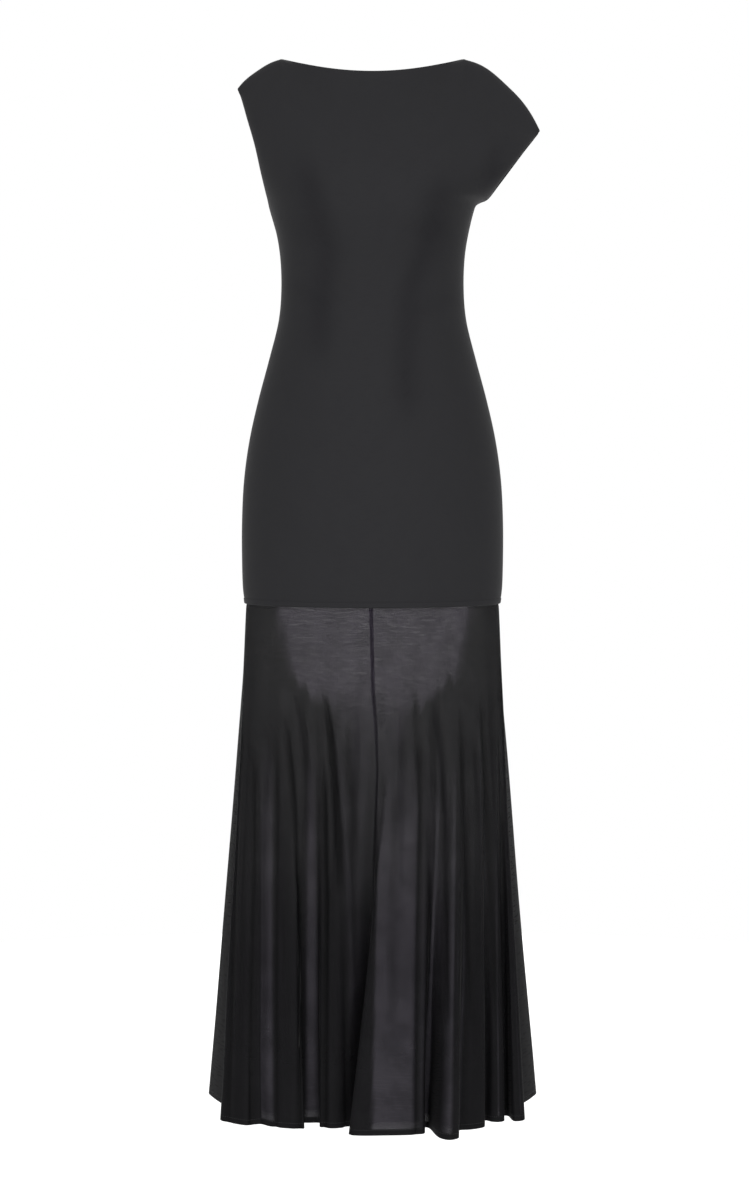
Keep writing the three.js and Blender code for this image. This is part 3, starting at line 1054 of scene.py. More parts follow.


# name, first edge x and y, last edge x and y, crown, angle at the hip seam, where it begins,
# and how taut the cloth hangs at its first edge, its middle and its last edge, which sets the light that it
# passes and its painted sheen
FOLDS = (
    Fold("left seam tuck", (-0.193, -0.050), (-0.187, -0.086), -0.003, 0, 0.02),
    Fold("left outer", (-0.201, -0.117), (-0.161, -0.148), 0.004, 20, 0.08, (0.66, 0.1, 0.1)),
    Fold("left shallow", (-0.151, -0.141), (-0.143, -0.142), -0.002, 33, 0.12, (0.0, 0.3, 1.0)),
    Fold("left inner", (-0.131, -0.155), (-0.089, -0.166), 0.003, 50, 0.14, (0.72, 0.05, 0.1)),
    Fold("left recess", (-0.093, -0.136), (-0.069, -0.134), -0.002, 63, 0.10, (0.5, 0.78, 0.6)),
    Fold("centre left", (-0.068, -0.158), (-0.034, -0.157), 0.006, 72, 0.12, (0.1, 0.1, 0.1)),
    Fold("centre seam tuck", (-0.001, -0.127), (0.004, -0.135), -0.004, 90, 0.20),
    Fold("centre", (-0.030, -0.197), (0.067, -0.192), 0.007, 104, 0.14, (0.9, 1.0, 0.59)),
    Fold("right gap", (0.064, -0.161), (0.073, -0.163), -0.004, 121, 0.10, (0.6, 1.0, 0.62)),
    Fold("nose", (0.087, -0.216), (0.110, -0.216), 0.009, 128, 0.16, (0.60, 0.68, 0.35)),
    Fold("right inner", (0.109, -0.176), (0.146, -0.155), 0.004, 139, 0.12, (0.72, 0.1, 0.64)),
    Fold("right tuck", (0.141, -0.124), (0.149, -0.120), -0.003, 148, 0.10),
    Fold("right middle", (0.156, -0.127), (0.173, -0.123), 0.004, 156, 0.10, (0.1, 0.66, 0.1)),
    Fold("right slot", (0.170, -0.099), (0.178, -0.094), -0.003, 162, 0.08, (0.2, 0.3, 0.2)),
    Fold("right outer", (0.186, -0.124), (0.201, -0.114), 0.004, 168, 0.06, (0.1, 0.62, 0.1)),
    Fold("right seam tuck", (0.187, -0.076), (0.192, -0.048), -0.003, 180, 0.02),
    Fold("right side", (0.217, 0.012), (0.217, 0.068), 0.007, 193, 0.02, (0.1, 0.2, 0.1)),
    Fold("back tuck 1", (0.191, 0.091), (0.185, 0.107), -0.003, 204, 0.08),
    Fold("back 1", (0.195, 0.128), (0.160, 0.152), 0.005, 213, 0.10, (0.2, 0.7, 0.3)),
    Fold("back tuck 2", (0.149, 0.131), (0.139, 0.134), -0.003, 224, 0.12),
    Fold("back 2", (0.134, 0.163), (0.086, 0.181), 0.007, 238, 0.14, (0.4, 1.0, 0.5)),
    Fold("back tuck 3", (0.088, 0.146), (0.066, 0.150), -0.003, 250, 0.16),
    Fold("back 3", (0.058, 0.186), (0.022, 0.189), 0.005, 260, 0.22, (0.2, 0.72, 0.3)),
    Fold("back tuck 4", (0.017, 0.163), (0.004, 0.162), -0.003, 269, 0.20),
    Fold("back 4", (0.000, 0.193), (-0.060, 0.186), 0.008, 284, 0.16, (0.5, 1.0, 0.4)),
    Fold("back tuck 5", (-0.058, 0.152), (-0.080, 0.148), -0.003, 299, 0.12),
    Fold("back 5", (-0.086, 0.178), (-0.118, 0.168), 0.005, 309, 0.16, (0.2, 0.7, 0.2)),
    Fold("back tuck 6", (-0.122, 0.144), (-0.136, 0.138), -0.003, 320, 0.12),
    Fold("back 6", (-0.146, 0.156), (-0.194, 0.128), 0.006, 334, 0.08, (0.3, 0.8, 0.4)),
    Fold("back tuck 7", (-0.186, 0.107), (-0.192, 0.091), -0.003, 344, 0.06),
    Fold("left side", (-0.217, 0.068), (-0.217, 0.012), 0.007, 351, 0.02, (0.1, 0.2, 0.1)),
)

# name, line of heights and places from its top, width, depth
SKIRT_FALLS = {
    Side.FRONT: (
        Fall("left of the shallow tuck",
             ((-0.900, -0.160), (-1.115, -0.158), (-1.246, -0.161), (-1.400, -0.158)), 0.0042, 0.0036),
        Fall("right of the shallow tuck",
             ((-0.880, -0.129), (-1.115, -0.127), (-1.400, -0.127)), 0.0036, 0.0032),
        Fall("left of the recess",
             ((-0.868, -0.118), (-0.985, -0.105), (-1.115, -0.0940), (-1.246, -0.0934), (-1.400, -0.0944)),
             0.0042, 0.0046),
        Fall("right of the recess",
             ((-0.925, -0.0655), (-1.000, -0.0640), (-1.115, -0.0620), (-1.400, -0.0632)), 0.0038, 0.0052),
        Fall("inner pleat", ((-0.838, -0.0665), (-0.902, -0.0556), (-1.024, -0.0450), (-1.130, -0.0400)),
             0.0040, 0.0062, 0.06),
        Fall("inner pleat foot",
             ((-1.080, -0.0395), (-1.200, -0.0360), (-1.400, -0.0332)), 0.0032, 0.0030, 0.12),
        Fall("inner pleat edge",
             ((-0.865, -0.0490), (-0.985, -0.0385), (-1.115, -0.0300), (-1.300, -0.0260)), 0.0046, -0.0022),
        Fall("left of the seam",
             ((-0.850, -0.0330), (-0.940, -0.0310), (-1.010, -0.0240), (-1.080, -0.0180)), 0.0034, 0.0026),
        Fall("left of the seam edge",
             ((-0.850, -0.0100), (-0.950, -0.0100), (-1.040, -0.0150), (-1.150, -0.0172), (-1.270, -0.0190)),
             0.0056, -0.0014),
        Fall("right of the seam edge",
             ((-0.920, 0.0085), (-1.000, 0.0085), (-1.115, 0.0080), (-1.300, 0.0050)), 0.0026, -0.0014),
        Fall("upper left", ((-0.832, -0.0950), (-0.900, -0.0890), (-0.960, -0.0860)), 0.0034, 0.0014, 0.03),
        Fall("upper right", ((-0.835, 0.0560), (-0.900, 0.0590), (-0.960, 0.0620)), 0.0036, 0.0016, 0.03),
        Fall("high right", ((-0.850, 0.0800), (-0.930, 0.0830), (-1.000, 0.0880)), 0.0032, 0.0010, 0.03),
        Fall("far right edge", ((-0.860, 0.1390), (-1.000, 0.1440), (-1.150, 0.1500)), 0.0026, -0.0012),
        Fall("right edge", ((-0.870, 0.0720), (-1.000, 0.0770), (-1.150, 0.0800)), 0.0026, -0.0010),
        Fall("outer left",
             ((-0.860, -0.171), (-1.010, -0.182), (-1.160, -0.186), (-1.400, -0.190)), 0.0040, 0.0026),
        Fall("on the middle fold", ((-0.930, 0.0330), (-1.115, 0.0270), (-1.300, 0.0260)), 0.0070, 0.0014),
        Fall("right of the middle fold",
             ((-0.870, 0.0610), (-1.000, 0.0640), (-1.160, 0.0600), (-1.400, 0.0580)), 0.0040, 0.0038),
        Fall("right inner", ((-0.900, 0.0890), (-1.050, 0.0930), (-1.300, 0.0950)), 0.0040, 0.0012),
        Fall("nose side", ((-0.960, 0.0800), (-1.100, 0.0830), (-1.330, 0.0850)), 0.0070, -0.0020),
        Fall("right middle", ((-0.860, 0.1180), (-1.050, 0.1250), (-1.300, 0.1300)), 0.0040, 0.0030),
        Fall("right outer", ((-0.840, 0.1460), (-1.050, 0.1560), (-1.300, 0.1640)), 0.0040, 0.0028),
    ),
    Side.BACK: (
        Fall("back left slant", ((-0.850, -0.110), (-0.960, -0.092), (-1.150, -0.084)), 0.0048, 0.0048),
        Fall("back left", ((-0.900, -0.140), (-1.060, -0.152), (-1.330, -0.166)), 0.0044, 0.0034),
        Fall("back inner left", ((-0.930, -0.048), (-1.100, -0.056), (-1.400, -0.066)), 0.0046, 0.0040),
        Fall("back middle", ((-0.860, -0.020), (-1.020, -0.026), (-1.260, -0.034)), 0.0050, 0.0036),
        Fall("back inner right", ((-0.880, 0.040), (-1.080, 0.043), (-1.330, 0.040)), 0.0046, 0.0042),
        Fall("back right slant", ((-0.845, 0.082), (-0.950, 0.096), (-1.120, 0.112)), 0.0048, 0.0046),
        Fall("back right", ((-0.900, 0.140), (-1.100, 0.152), (-1.400, 0.166)), 0.0044, 0.0032),
    ),
}


@dataclass
class Skirt:
    """The sheer flared skirt: two front panels that meet in a centre seam, and the back.

    A share of the height runs from 0 at the top to 1 at the hem.
    """

    # The cloth and its two edges
    top: float = -0.729
    foot: float = -1.410
    cloth: float = 0.0006
    hem_cloth: float = 0.0017
    hem_height: float = 0.0076
    hem_turn: tuple[float, float] = (-0.0003, 0.0004)
    seam_half: float = 0.1704
    seam_front: float = 0.1119
    seam_back: float = 0.1089
    oval_half: float = 0.216
    oval_reach: float = 0.172
    widen: float = 1.04
    deepen: float = 1.25
    dip: tuple[float, float, float] = (-0.7382, 0.0019, 0.0020)
    seams: tuple[str, ...] = ("left seam tuck", "centre seam tuck", "right seam tuck")
    seam_drift: tuple[tuple[float, float], ...] = (
        (-0.729, -0.0019), (-0.844, 0.0007), (-0.897, 0.0047), (-0.950, 0.0058), (-1.080, 0.0),
        (-1.410, 0.0))
    drift_reach: float = 0.042

    # Each panel's flat size and area, from the left side seam round to it again
    flats: dict[str, tuple[tuple[float, float], float]] = field(default_factory=lambda: {
        "skirt_front_left": ((0.37, 0.69), 0.19),
        "skirt_front_right": ((0.62, 0.70), 0.24),
        "skirt_back": ((1.13, 0.69), 0.48),
    })

    # The spacing of the columns and rows
    spacing: float = 0.0038
    least_steps: int = 5
    place_digits: int = 7
    seam_spacing: tuple[float, ...] = (0.0004, 0.0009, 0.0016)
    rows: int = 112
    row_gaps: tuple[float, float] = (0.002, 0.004)
    dip_foot: float = 0.0180
    dip_rows: float = 0.0011
    hem_rows: tuple[float, ...] = (
        0.0004, 0.0009, 0.0016, 0.0028, 0.0044, 0.0060, 0.0068, 0.0074, 0.0080, 0.0090)

    # How far a fall sinks the cloth and spreads its painted shade and painted sheen, by the way that the
    # cloth looks, and the soft unevenness of the hanging cloth, whose waves are told by their turns round
    # the skirt and down it, and where they start
    facing: tuple[float, float] = (0.15, 0.5)
    shaded: tuple[float, float] = (-0.15, 0.15)
    full_fall: float = 0.0052
    sway: float = 0.0011
    sway_waves: tuple[tuple[float, ...], ...] = ((9.0, 5.2, 0.4), (2.0, 4.1, 0.0))
    ripple: float = 0.0006
    ripple_waves: tuple[tuple[float, ...], ...] = ((23.0, -3.1, 0.0), (3.0, 9.0, 1.0))
    sway_from: tuple[float, float] = (0.03, 0.3)
    sway_hem: tuple[float, float] = (0.9, 1.0)
    sway_loss: float = 0.6

    # The stretched zone over the hips: share of the height, reach to each side, light that passes
    zone: tuple[tuple[float, float, float], ...] = (
        (0.0, 0.131, 0.186), (0.09, 0.118, 0.182), (0.148, 0.108, 0.166), (0.180, 0.082, 0.140),
        (0.212, 0.048, 0.105), (0.30, 0.036, 0.070), (0.34, 0.034, 0.03), (0.60, 0.020, 0.0),
        (1.0, 0.020, 0.0))
    zone_middle: float = 0.002
    zone_edge: float = 0.010
    zone_teeth: float = 0.010
    teeth: tuple[tuple[float, float], ...] = ((196.0, 1.0), (71.0, 0.4), (431.0, 2.0))
    third_tooth: float = 0.6

    # The light that the cloth passes elsewhere
    plain: tuple[tuple[float, float], ...] = (
        (0.0, 0.125), (0.15, 0.108), (0.226, 0.082), (0.30, 0.066), (0.37, 0.055), (0.50, 0.045),
        (0.60, 0.032), (0.75, 0.009), (0.88, 0.0004), (1.0, 0.0002))
    taut_range: tuple[float, float] = (0.55, 0.75)
    taut_heights: tuple[float, float] = (0.22, 0.52)
    taut_passing: float = 0.015
    taut_fade: tuple[float, float] = (0.6, 0.9)
    folded_under: tuple[tuple[float, float], ...] = (
        (-0.900, 0.0125), (-0.972, 0.0125), (-1.100, 0.0073), (-1.177, 0.0047), (-1.410, -0.0005))
    folded_from: float = -0.045
    folded_edge: float = 0.003
    tucked_passing: float = 0.25
    back_passing: float = 0.20
    back_heights: tuple[float, float] = (0.50, 0.80)
    turning: tuple[float, float] = (-0.1, 0.35)
    hem_patch: float = 0.016
    hem_patch_height: float = 0.019
    patch_full: float = 0.6
    back_patch: float = 0.4
    side_power: float = 0.25
    least_facing: float = 0.35
    hem_passing: float = 0.0004
    most_passing: float = 0.4

    # The painted sheen
    zone_painted_sheen: float = 0.9
    ridge_painted_sheen: float = 0.75
    painted_sheen_facing: tuple[float, float] = (0.35, 0.9)
    hem_painted_sheen: tuple[float, float] = (-0.0003, 0.0012)
    streak: float = 0.13
    streak_pitches: tuple[float, ...] = (0.0126, 0.0208, 0.0335, 0.0570)
    streak_turns: tuple[float, float] = (1.7, 2.0)
    streak_mix: tuple[float, ...] = (0.55, 0.45, 0.35)
    streak_from: tuple[float, float] = (0.10, 0.26)
    streak_fade: tuple[float, float] = (0.55, 0.95)
    streak_loss: float = 0.55

    def __post_init__(self) -> None:
        """Works out the threads and the whole surface once."""
        self.height = self.top - self.foot
        self.lay_threads()
        self.shares = self.row_shares()
        self.points = self.crumple(self.whole(self.shares))
        self.outward = self.outward_of(self.points)
        self.layers = {"openness": self.openness(), "painted_sheen": self.painted_sheen(), "tucked_with_painted_shade": self.tucked_with_painted_shade}

    def lay_threads(self) -> None:
        """Finds each thread's place on the hem, its angle on the seam and where its fold begins."""
        knots = []
        for fold in FOLDS:
            start, end = np.array(fold.start), np.array(fold.end)
            along = unit(end - start)
            crown = 0.5 * (start + end) + fold.crown * np.array([along[1], -along[0]])
            knots += [start, crown, end]
        knots = np.array([[x, y, 0.0] for x, y in knots])
        count = len(knots)
        lengths = np.linalg.norm(np.roll(knots, -1, axis=0) - knots, axis=1)
        middles = {fold.name: 3 * i + 1 for i, fold in enumerate(FOLDS)}
        places = []
        for k, length in enumerate(lengths):
            steps = max(self.least_steps, math.ceil(length / self.spacing))
            places += [k + j / steps for j in range(steps)]
        for name in self.seams:
            k = middles[name]
            places += [k + d / lengths[k] for d in self.seam_spacing]
            places += [k - d / lengths[k - 1] for d in self.seam_spacing]
        places = np.unique(np.round(places, self.place_digits))
        first = places.astype(int) % count
        corners = (knots[(first + step) % count] for step in (-1, 0, 1, 2))
        self.hem = spline(*corners, (places - places.astype(int))[:, None])
        walked = np.concatenate([[0.0], np.cumsum(np.linalg.norm(np.diff(self.hem, axis=0), axis=1))])
        total = walked[-1] + np.linalg.norm(self.hem[0] - self.hem[-1])
        middle_at = walked[np.searchsorted(places, [middles[fold.name] for fold in FOLDS])]
        around = np.concatenate([[middle_at[-1] - total], middle_at, [middle_at[0] + total]])
        angles = [fold.at for fold in FOLDS]
        begins = [fold.begins for fold in FOLDS]
        self.angle = np.interp(walked, around, [angles[-1] - 360.0, *angles, angles[0] + 360.0])
        self.begins = np.interp(walked, around, [begins[-1], *begins, begins[0]])
        edges_at = walked[np.searchsorted(places, np.arange(count))]
        taut = np.array([fold.taut for fold in FOLDS]).reshape(-1)
        self.taut = np.interp(walked, np.append(edges_at, total), np.append(taut, taut[0]))
        self.walked = walked
        self.seam_at = {name: int(np.searchsorted(places, middles[name])) for name in self.seams}

    def row_shares(self) -> Array:
        """The heights of the rows, closest together at the two edges.

        Returns:
            The heights, as shares of the whole from the top.
        """
        hem = 1.0 - np.array(self.hem_rows) / self.height
        seam = np.arange(0.0, self.dip_foot, self.dip_rows) / self.height
        even = np.linspace(0.0, 1.0, self.rows)
        below_seam, above_hem = self.row_gaps
        even = even[(even > seam[-1] + below_seam) & (even < hem[-1] - above_hem)]
        return np.unique(np.concatenate([seam, even, hem, [1.0]]))

    def whole(self, shares: Array) -> Array:
        """The skirt all round at some heights, before its creases.

        Args:
            shares: the heights, as shares of the whole from the top.

        Returns:
            The points, a row for each height.
        """
        turn = np.radians(self.angle)
        cosine, sine = np.cos(turn), np.sin(turn)
        reach = np.where(sine > 0, self.seam_front, self.seam_back)
        top = np.stack([-self.seam_half * cosine, -reach * sine], axis=-1)
        oval = np.stack([-self.oval_half * cosine, -self.oval_reach * sine], axis=-1)
        share = shares[:, None]
        grown = (np.maximum(0.0, share - self.begins) / (1.0 - self.begins)) ** self.deepen
        plan = top + (oval - top) * share[..., None] ** self.widen
        plan = plan + (self.hem[:, :2] - oval) * grown[..., None]
        z = np.broadcast_to(self.top + (self.foot - self.top) * share, plan.shape[:2])
        return np.concatenate([plan, z[..., None]], axis=-1)

    def crumple(self, points: Array) -> Array:
        """Adds the creases and the small unevenness of hanging cloth.

        Args:
            points: the plain points.

        Returns:
            The points as the cloth really hangs.
        """
        points = points.copy()
        x, y, z = points[..., 0], points[..., 1], points[..., 2]
        heights, drifts = zip(*self.seam_drift[::-1])
        points[..., 0] += np.interp(z, heights, drifts) * bell(x, self.drift_reach) * (y < 0)
        outward = self.outward_of(points)
        sink = np.zeros(points.shape[:2])
        # The tucks get painted shade and let less light through; the ridges get painted sheen
        self.tucked_with_painted_shade, self.painted_sheen_ridges = np.zeros_like(sink), np.zeros_like(sink)
        for side, falls in SKIRT_FALLS.items():
            looking = side.value * outward[..., 1]
            facing, shaded = smooth(*self.facing, looking), smooth(*self.shaded, looking)
            for fall in falls:
                share = fall.share(points)
                sink += fall.depth * share * facing
                kind, reach = (self.tucked_with_painted_shade, shaded) if fall.depth > 0 else (self.painted_sheen_ridges, facing)
                np.maximum(kind, share * reach * min(1.0, abs(fall.depth) / self.full_fall), out=kind)
        share = (self.top - z) / self.height
        turn = np.radians(self.angle)
        sway, ripple = (waves(turn, share, first) * waves(turn, share, second)
                        for first, second in (self.sway_waves, self.ripple_waves))
        rise = (self.sway * sway + self.ripple * ripple) * smooth(*self.sway_from, share)
        rise = rise * (1.0 - self.sway_loss * smooth(*self.sway_hem, share))
        level, tall, deep = self.dip
        sink += deep * bell(z - level, tall) * flatten(x)
        return points + outward * (rise - sink)[..., None]

    def outward_of(self, points: Array) -> Array:
        """The outward direction at each point, all round.

        Args:
            points: rows of points that close up round the skirt.

        Returns:
            The directions, level at the two edges.
        """
        across = np.roll(points, -1, axis=1) - np.roll(points, 1, axis=1)
        outward = np.cross(np.gradient(points, axis=0), across)
        outward[[0, -1], :, 2] = 0.0
        return unit(outward)

    def stretched_zone(self) -> Array:
        """How far the cloth is stretched over the hips.

        Returns:
            The light that each point then passes.
        """
        x = self.points[..., 0]
        first, second, third = (np.sin(turns * x + start) for turns, start in self.teeth)
        share = self.shares[:, None] + self.zone_teeth * (first * second + self.third_tooth * third)
        places, reaches, strengths = (np.array(column) for column in zip(*self.zone))
        reach = np.interp(share, places, reaches)
        beside = smooth(reach - self.zone_edge, reach + self.zone_edge, np.abs(x - self.zone_middle))
        return np.interp(share, places, strengths) * (1.0 - beside)

    def taut_folds(self) -> Array:
        """How taut the folds hang.

        Returns:
            A share from 0 to 1 for each point.
        """
        taut = smooth(*self.taut_range, self.taut) * smooth(*self.taut_heights, self.shares[:, None])
        x, z = self.points[..., 0], self.points[..., 2]
        heights, places = zip(*self.folded_under[::-1])
        edge, soft = np.interp(z, heights, places), self.folded_edge
        slack = smooth(self.folded_from - soft, self.folded_from + soft, x)
        slack = slack * (1.0 - smooth(edge - soft, edge + soft, x))
        return taut * (1.0 - slack * (self.points[..., 1] < 0.0))

    def openness(self) -> Array:
        """How much light passes the cloth, with the most where it is stretched over the hips.

        Returns:
            The light that each point passes.
        """
        share = self.shares[:, None]
        facing = self.outward[..., 1]
        taut = self.taut_folds()
        height = (1.0 - share) * self.height
        patch_fade = smooth(self.patch_full * self.hem_patch_height, self.hem_patch_height, height)
        patch = self.hem_patch * taut * (1.0 - patch_fade)
        plain = np.interp(share, *zip(*self.plain))
        front = np.maximum(self.stretched_zone(), plain) + patch
        front = front + self.taut_passing * taut * (1.0 - smooth(*self.taut_fade, share))
        back = self.back_passing * (1.0 - smooth(*self.back_heights, share))
        back = np.maximum(back, plain + self.back_patch * patch)
        passing = front + (back - front) * smooth(*self.turning, facing)
        nearest = np.clip(np.abs(facing), self.least_facing, 1.0)
        passing = passing ** (1.0 + self.side_power * (1.0 / nearest - 1.0))
        passing = passing * (1.0 - (1.0 - self.tucked_passing) * self.tucked_with_painted_shade)
        return np.where(height < self.hem_height, self.hem_passing, np.clip(passing, 0.0, self.most_passing))

    def painted_sheen(self) -> Array:
        """How much sheen is painted on the cloth, with the most where it is stretched, on ridges, and where
        it hangs taut and faces front or back.

        Returns:
            A share from 0 to 1 for each point.
        """
        height = (1.0 - self.shares[:, None]) * self.height
        zone = self.zone_painted_sheen * self.stretched_zone() / max(strength for _, _, strength in self.zone)
        folds = self.taut_folds() * smooth(*self.painted_sheen_facing, np.abs(self.outward[..., 1]))
        low, high = self.hem_painted_sheen
        turned = smooth(self.hem_height + low, self.hem_height + high, height)
        painted_sheen = np.maximum(zone, folds) * (1.0 - self.tucked_with_painted_shade) + self.ridge_painted_sheen * self.painted_sheen_ridges
        return np.clip(painted_sheen + self.streak * self.painted_sheen_streaks() * (1.0 - self.tucked_with_painted_shade), 0.0, 1.0) * turned

    def painted_sheen_streaks(self) -> Array:
        """Soft uneven streaks of painted sheen that run down the hanging cloth.

        Returns:
            The strength of the streaks at each point.
        """
        share = self.shares[:, None]
        start, turns = self.streak_turns
        first, second, third, fourth = (
            np.sin(2.0 * math.pi * self.walked / pitch + start * i + (turns + i) * share)
            for i, pitch in enumerate(self.streak_pitches))
        slow, even, fine = self.streak_mix
        mixed = slow * first * third + even * second + fine * second * fourth
        return np.maximum(0.0, mixed) * smooth(*self.streak_from, share) * (
            1.0 - self.streak_loss * smooth(*self.streak_fade, share))

    def thickness(self) -> Array:
        """The cloth's thickness, which is doubled and more in the turned hem.

        Returns:
            The thickness at each row.
        """
        height = (1.0 - self.shares) * self.height
        low, high = self.hem_turn
        turned = 1.0 - smooth(self.hem_height + low, self.hem_height + high, height)
        return (self.cloth + (self.hem_cloth - self.cloth) * turned)[:, None]

    def panel(self, name: str, start: str, end: str) -> bpy.types.Object:
        """Makes one panel.

        Args:
            name: the piece's name.
            start: the seam on its left, seen from outside.
            end: the seam on its right.

        Returns:
            The panel.
        """
        count = len(self.angle)
        first, last = self.seam_at[start], self.seam_at[end]
        columns = np.arange(first, last + 1 if last > first else last + count + 1) % count
        shell = Shell(self.points[:, columns], self.outward[:, columns], self.thickness())
        return shell.build(name, {title: values[:, columns] for title, values in self.layers.items()})

    def build(self, material: bpy.types.Material) -> list[bpy.types.Object]:
        """Makes the three panels.

        Args:
            material: the sheer jersey.

        Returns:
            The panels.
        """
        panels = []
        ends = zip(self.seams, (*self.seams[1:], self.seams[0]))
        for (node, (flat, area)), (start, end) in zip(self.flats.items(), ends):
            panel = self.panel(node + "_cloth", start, end)
            dress_piece(panel, material)
            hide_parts(node)
            panels.append(panel)
        return panels


@dataclass
class SeamAllowances:
    """The narrow sewn edges behind the skirt's seams, which show through the sheer cloth."""

    skirt: Skirt
    widths: tuple[tuple[float, float], ...] = (
        (-0.729, 0.0054), (-0.860, 0.0050), (-0.950, 0.0036), (-1.410, 0.0034))
    thickness: float = 0.0005
    rim: float = 0.0004
    clearance: float = 0.00012
    steps: int = 6
    columns_beside: int = 9
    rows: tuple[int, int] = (1, -11)
    passing: float = 0.012

    def strip(self, name: str, seam: str) -> bpy.types.Object:
        """Makes the strip behind one seam.

        Args:
            name: the piece's name.
            seam: the seam that it lies behind.

        Returns:
            The strip.
        """
        skirt, middle = self.skirt, self.columns_beside
        columns = (skirt.seam_at[seam] + np.arange(-middle, middle + 1)) % len(skirt.angle)
        points, outward = skirt.points[:, columns], skirt.outward[:, columns]
        walked = run_length(points, 1)
        walked = walked - walked[:, [middle]]
        heights, widths = zip(*self.widths[::-1])
        half = 0.5 * np.interp(points[:, middle, 2], heights, widths)
        places = half[:, None] * np.linspace(-1.0, 1.0, self.steps + 1)
        lines = np.array([follow(*row) for row in zip(places, walked, points)])
        directions = unit(np.array([follow(*row) for row in zip(places, walked, outward)]))
        inset = skirt.thickness() + self.clearance
        lines = (lines - directions * inset[..., None])[slice(*self.rows)]
        size = lines.shape[:2]
        shell = Shell(lines, directions[slice(*self.rows)], np.array(self.thickness), rim=self.rim)
        return shell.build(name, {
            "openness": np.full(size, self.passing), "painted_sheen": np.zeros(size), "tucked_with_painted_shade": np.zeros(size)})

    def build(self, material: bpy.types.Material) -> list[bpy.types.Object]:
        """Makes the three strips.

        Args:
            material: the sheer jersey.

        Returns:
            The strips.
        """
        names = ("left_side_seam_edges", "centre_seam_edges", "right_side_seam_edges")
        strips = [self.strip(name, seam) for name, seam in zip(names, self.skirt.seams)]
        for strip in strips:
            dress_piece(strip, material)
        return strips


@dataclass
class HemStitches:
    """The row of fine stitches that holds the turned hem."""

    skirt: Skirt
    height: float = 0.0068
    pitch: float = 0.0030
    length: float = 0.0024
    radius: float = 0.00018
    sides: int = 6
    rings: int = 5
    taper: float = 0.92
    dive: float = 0.00022
    probe: float = 0.001

    def shape(self) -> Array:
        """One stitch, whose two ends taper and dive into the cloth.

        Returns:
            The points of its rings: how far each lies forward, up and out.
        """
        half = 0.5 * self.length
        along = np.linspace(-1.0, 1.0, self.rings)
        radii = self.radius * np.sqrt(1.0 - self.taper * along ** 2)
        turns = np.arange(self.sides) * 2.0 * math.pi / self.sides
        shape = np.array([[half * ring, radius * math.cos(t), radius * math.sin(t)]
                          for ring, radius in zip(along, radii) for t in turns])
        shape[:, 2] -= self.dive * np.abs(shape[:, 0] / half) ** 3
        return shape

    def faces(self) -> list[list[int]]:
        """The faces of one stitch.

        Returns:
            The corners of the faces round it and of those that close its two ends.
        """
        n, foot = self.sides, (self.rings - 1) * self.sides
        start = [[i, i + 1, n - 2 - i, n - 1 - i] for i in range(n // 2 - 1)]
        end = [[foot + corner for corner in face[::-1]] for face in start]
        return ring_faces(self.rings, n) + start + end

    def build(self, material: bpy.types.Material) -> bpy.types.Object:
        """Makes the stitches as one piece.

        Args:
            material: the thread.

        Returns:
            The piece.
        """
        skirt = self.skirt
        row = int(np.argmin(np.abs((1.0 - skirt.shares) * skirt.height - self.height)))
        line = np.concatenate([skirt.points[row], skirt.points[row, :1]])
        outward = np.concatenate([skirt.outward[row], skirt.outward[row, :1]])
        walked = run_length(line[None], 1)[0]
        count = int(walked[-1] / self.pitch)
        at = (np.arange(count) + 0.5) * walked[-1] / count
        out = unit(follow(at, walked, outward))
        forward = unit(follow(at + self.probe, walked, line) - follow(at - self.probe, walked, line))
        up = unit(np.cross(out, forward))
        shape = self.shape()
        points = (follow(at, walked, line)[:, None] + shape[None, :, :1] * forward[:, None]
                  + shape[None, :, 1:2] * up[:, None] + shape[None, :, 2:3] * out[:, None])
        faces = np.array(self.faces())[None] + (np.arange(count) * len(shape))[:, None, None]
        piece = make_piece("hem_stitches", points.reshape(-1, 3), faces.reshape(-1, 4))
        dress_piece(piece, material)
        return piece


# The studio

WHITE = (1.0, 1.0, 1.0, 1.0)


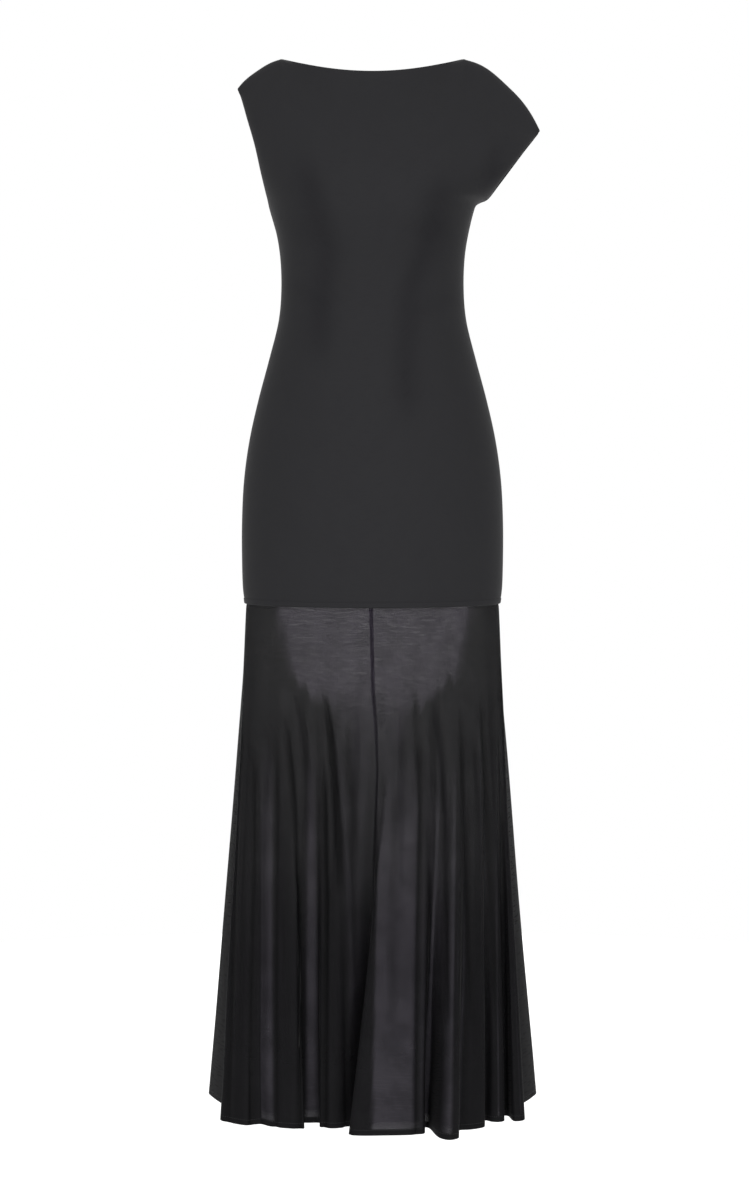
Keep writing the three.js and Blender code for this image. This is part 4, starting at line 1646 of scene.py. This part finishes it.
@dataclass
class Studio:
    """The camera, the pale floor and the soft light."""

    eye: tuple[float, float, float] = (0.0027, -4.0, -0.4878)
    tall: float = 1200.0
    horizon: float = 419.0
    pixel: float = 0.001355
    sensor: float = 36.0
    clip: tuple[float, float] = (0.1, 60.0)
    floor_level: float = -1.60
    floor_rings: tuple[float, ...] = (0.0, 0.4, 0.8, 1.2, 1.6, 2.0, 2.4)
    floor_hole: float = 0.001
    floor_sides: int = 72
    floor_dark: tuple[float, ...] = (0.86, 0.86, 0.86, 1.0)
    floor_light: tuple[float, ...] = (0.9, 0.9, 0.9, 1.0)
    floor_noise: tuple[float, float] = (2.0, 0.5)
    floor_roughness: float = 0.9
    floor_glow: float = 0.32
    backdrop: float = 1.0
    surround: float = 0.80
    lit: tuple[float, float, float] = (0.0, 0.0, -0.7)
    softboxes: tuple[tuple[str, tuple[float, ...], tuple[float, float], float], ...] = (
        ("key_softbox", (-1.2, -3.9, 0.3), (1.4, 2.2), 84.0),
        ("fill_softbox", (1.4, -3.8, 0.2), (1.4, 2.2), 70.0),
        ("back_softbox", (0.3, 4.2, 0.3), (1.8, 2.2), 70.0),
    )

    def camera(self) -> None:
        """Sets up the camera at the photograph's height and distance, level, with its frame moved down."""
        data = bpy.data.cameras.new("camera")
        camera = bpy.data.objects.new("camera", data)
        bpy.context.scene.collection.objects.link(camera)
        camera.location = self.eye
        camera.rotation_euler = (math.pi / 2.0, 0.0, 0.0)
        data.sensor_width = self.sensor
        data.lens = self.sensor * -self.eye[1] / (self.tall * self.pixel)
        data.shift_y = -(self.tall / 2.0 - self.horizon) / self.tall
        data.clip_start, data.clip_end = self.clip
        bpy.context.scene.camera = camera

    def floor(self) -> None:
        """Makes the round pale floor below the hem."""
        turns = np.linspace(0.0, 2.0 * math.pi, self.floor_sides + 1)[:-1]
        points = np.array([[r * math.cos(t), r * math.sin(t), self.floor_level]
                           for r in np.array(self.floor_rings) + self.floor_hole for t in turns])
        floor = make_piece("studio_floor", points, np.array(ring_faces(len(self.floor_rings), len(turns))))
        material, wire, shader = start_material("pale_floor")
        tone = wire.noise(wire.add("TexCoord").outputs["Object"], *self.floor_noise)
        seen = wire.add("LightPath").outputs["Is Camera Ray"]
        wire.fill(shader, {
            "Base Color": wire.blend(tone, self.floor_dark, self.floor_light),
            "Roughness": self.floor_roughness,
            "Specular IOR Level": 0.0,
            "Emission Color": WHITE,
            "Emission Strength": wire.math("MULTIPLY", seen, self.floor_glow),
        })
        floor.data.materials.append(material)

    def light(self, name: str, place: tuple[float, ...], size: tuple[float, float], power: float) -> None:
        """Adds a softbox that looks at the middle of the dress.

        Args:
            name: its name.
            place: where it stands.
            size: its width and height.
            power: its strength in watts.
        """
        data = bpy.data.lights.new(name, "AREA")
        data.shape = "RECTANGLE"
        data.size, data.size_y = size
        data.energy = power
        lamp = bpy.data.objects.new(name, data)
        bpy.context.scene.collection.objects.link(lamp)
        lamp.location = place
        lamp.visible_camera = False
        aim = Vector(self.lit) - Vector(place)
        lamp.rotation_euler = aim.to_track_quat("-Z", "Y").to_euler()

    def world(self) -> None:
        """Makes the even white surroundings."""
        world = bpy.data.worlds.new("white_studio")
        world.use_nodes = True
        wire = Wiring(world.node_tree)
        seen = wire.add("LightPath").outputs["Is Camera Ray"]
        strength = wire.math("MULTIPLY_ADD", seen, self.backdrop - self.surround, self.surround)
        wire.fill(world.node_tree.nodes["Background"], {"Color": WHITE, "Strength": strength})
        bpy.context.scene.world = world

    def build(self) -> None:
        """Sets up everything round the dress."""
        self.camera()
        self.floor()
        self.world()
        for softbox in self.softboxes:
            self.light(*softbox)
        settings = bpy.context.scene.view_settings
        settings.view_transform = "Standard"
        settings.look = "None"


def main() -> None:
    """Builds the dress and the studio."""
    logging.basicConfig(level=logging.INFO, format="%(name)s: %(message)s")
    Studio().build()
    knit = KnitGroup().build()
    jersey = JerseyFinish().build(knit)
    sheer = SheerFinish().build(knit)
    thread = ThreadFinish().build()
    skirt = Skirt()
    pieces = Bodice().build(jersey)
    pieces += skirt.build(sheer)
    pieces += SeamAllowances(skirt).build(sheer)
    pieces.append(HemStitches(skirt).build(thread))
    for piece in pieces:
        area = sum(face.area for face in piece.data.polygons) / 2.0
        log.info("%s: %d faces, cloth %.4f m2", piece.name, len(piece.data.polygons), area)


if __name__ == "__main__":
    main()
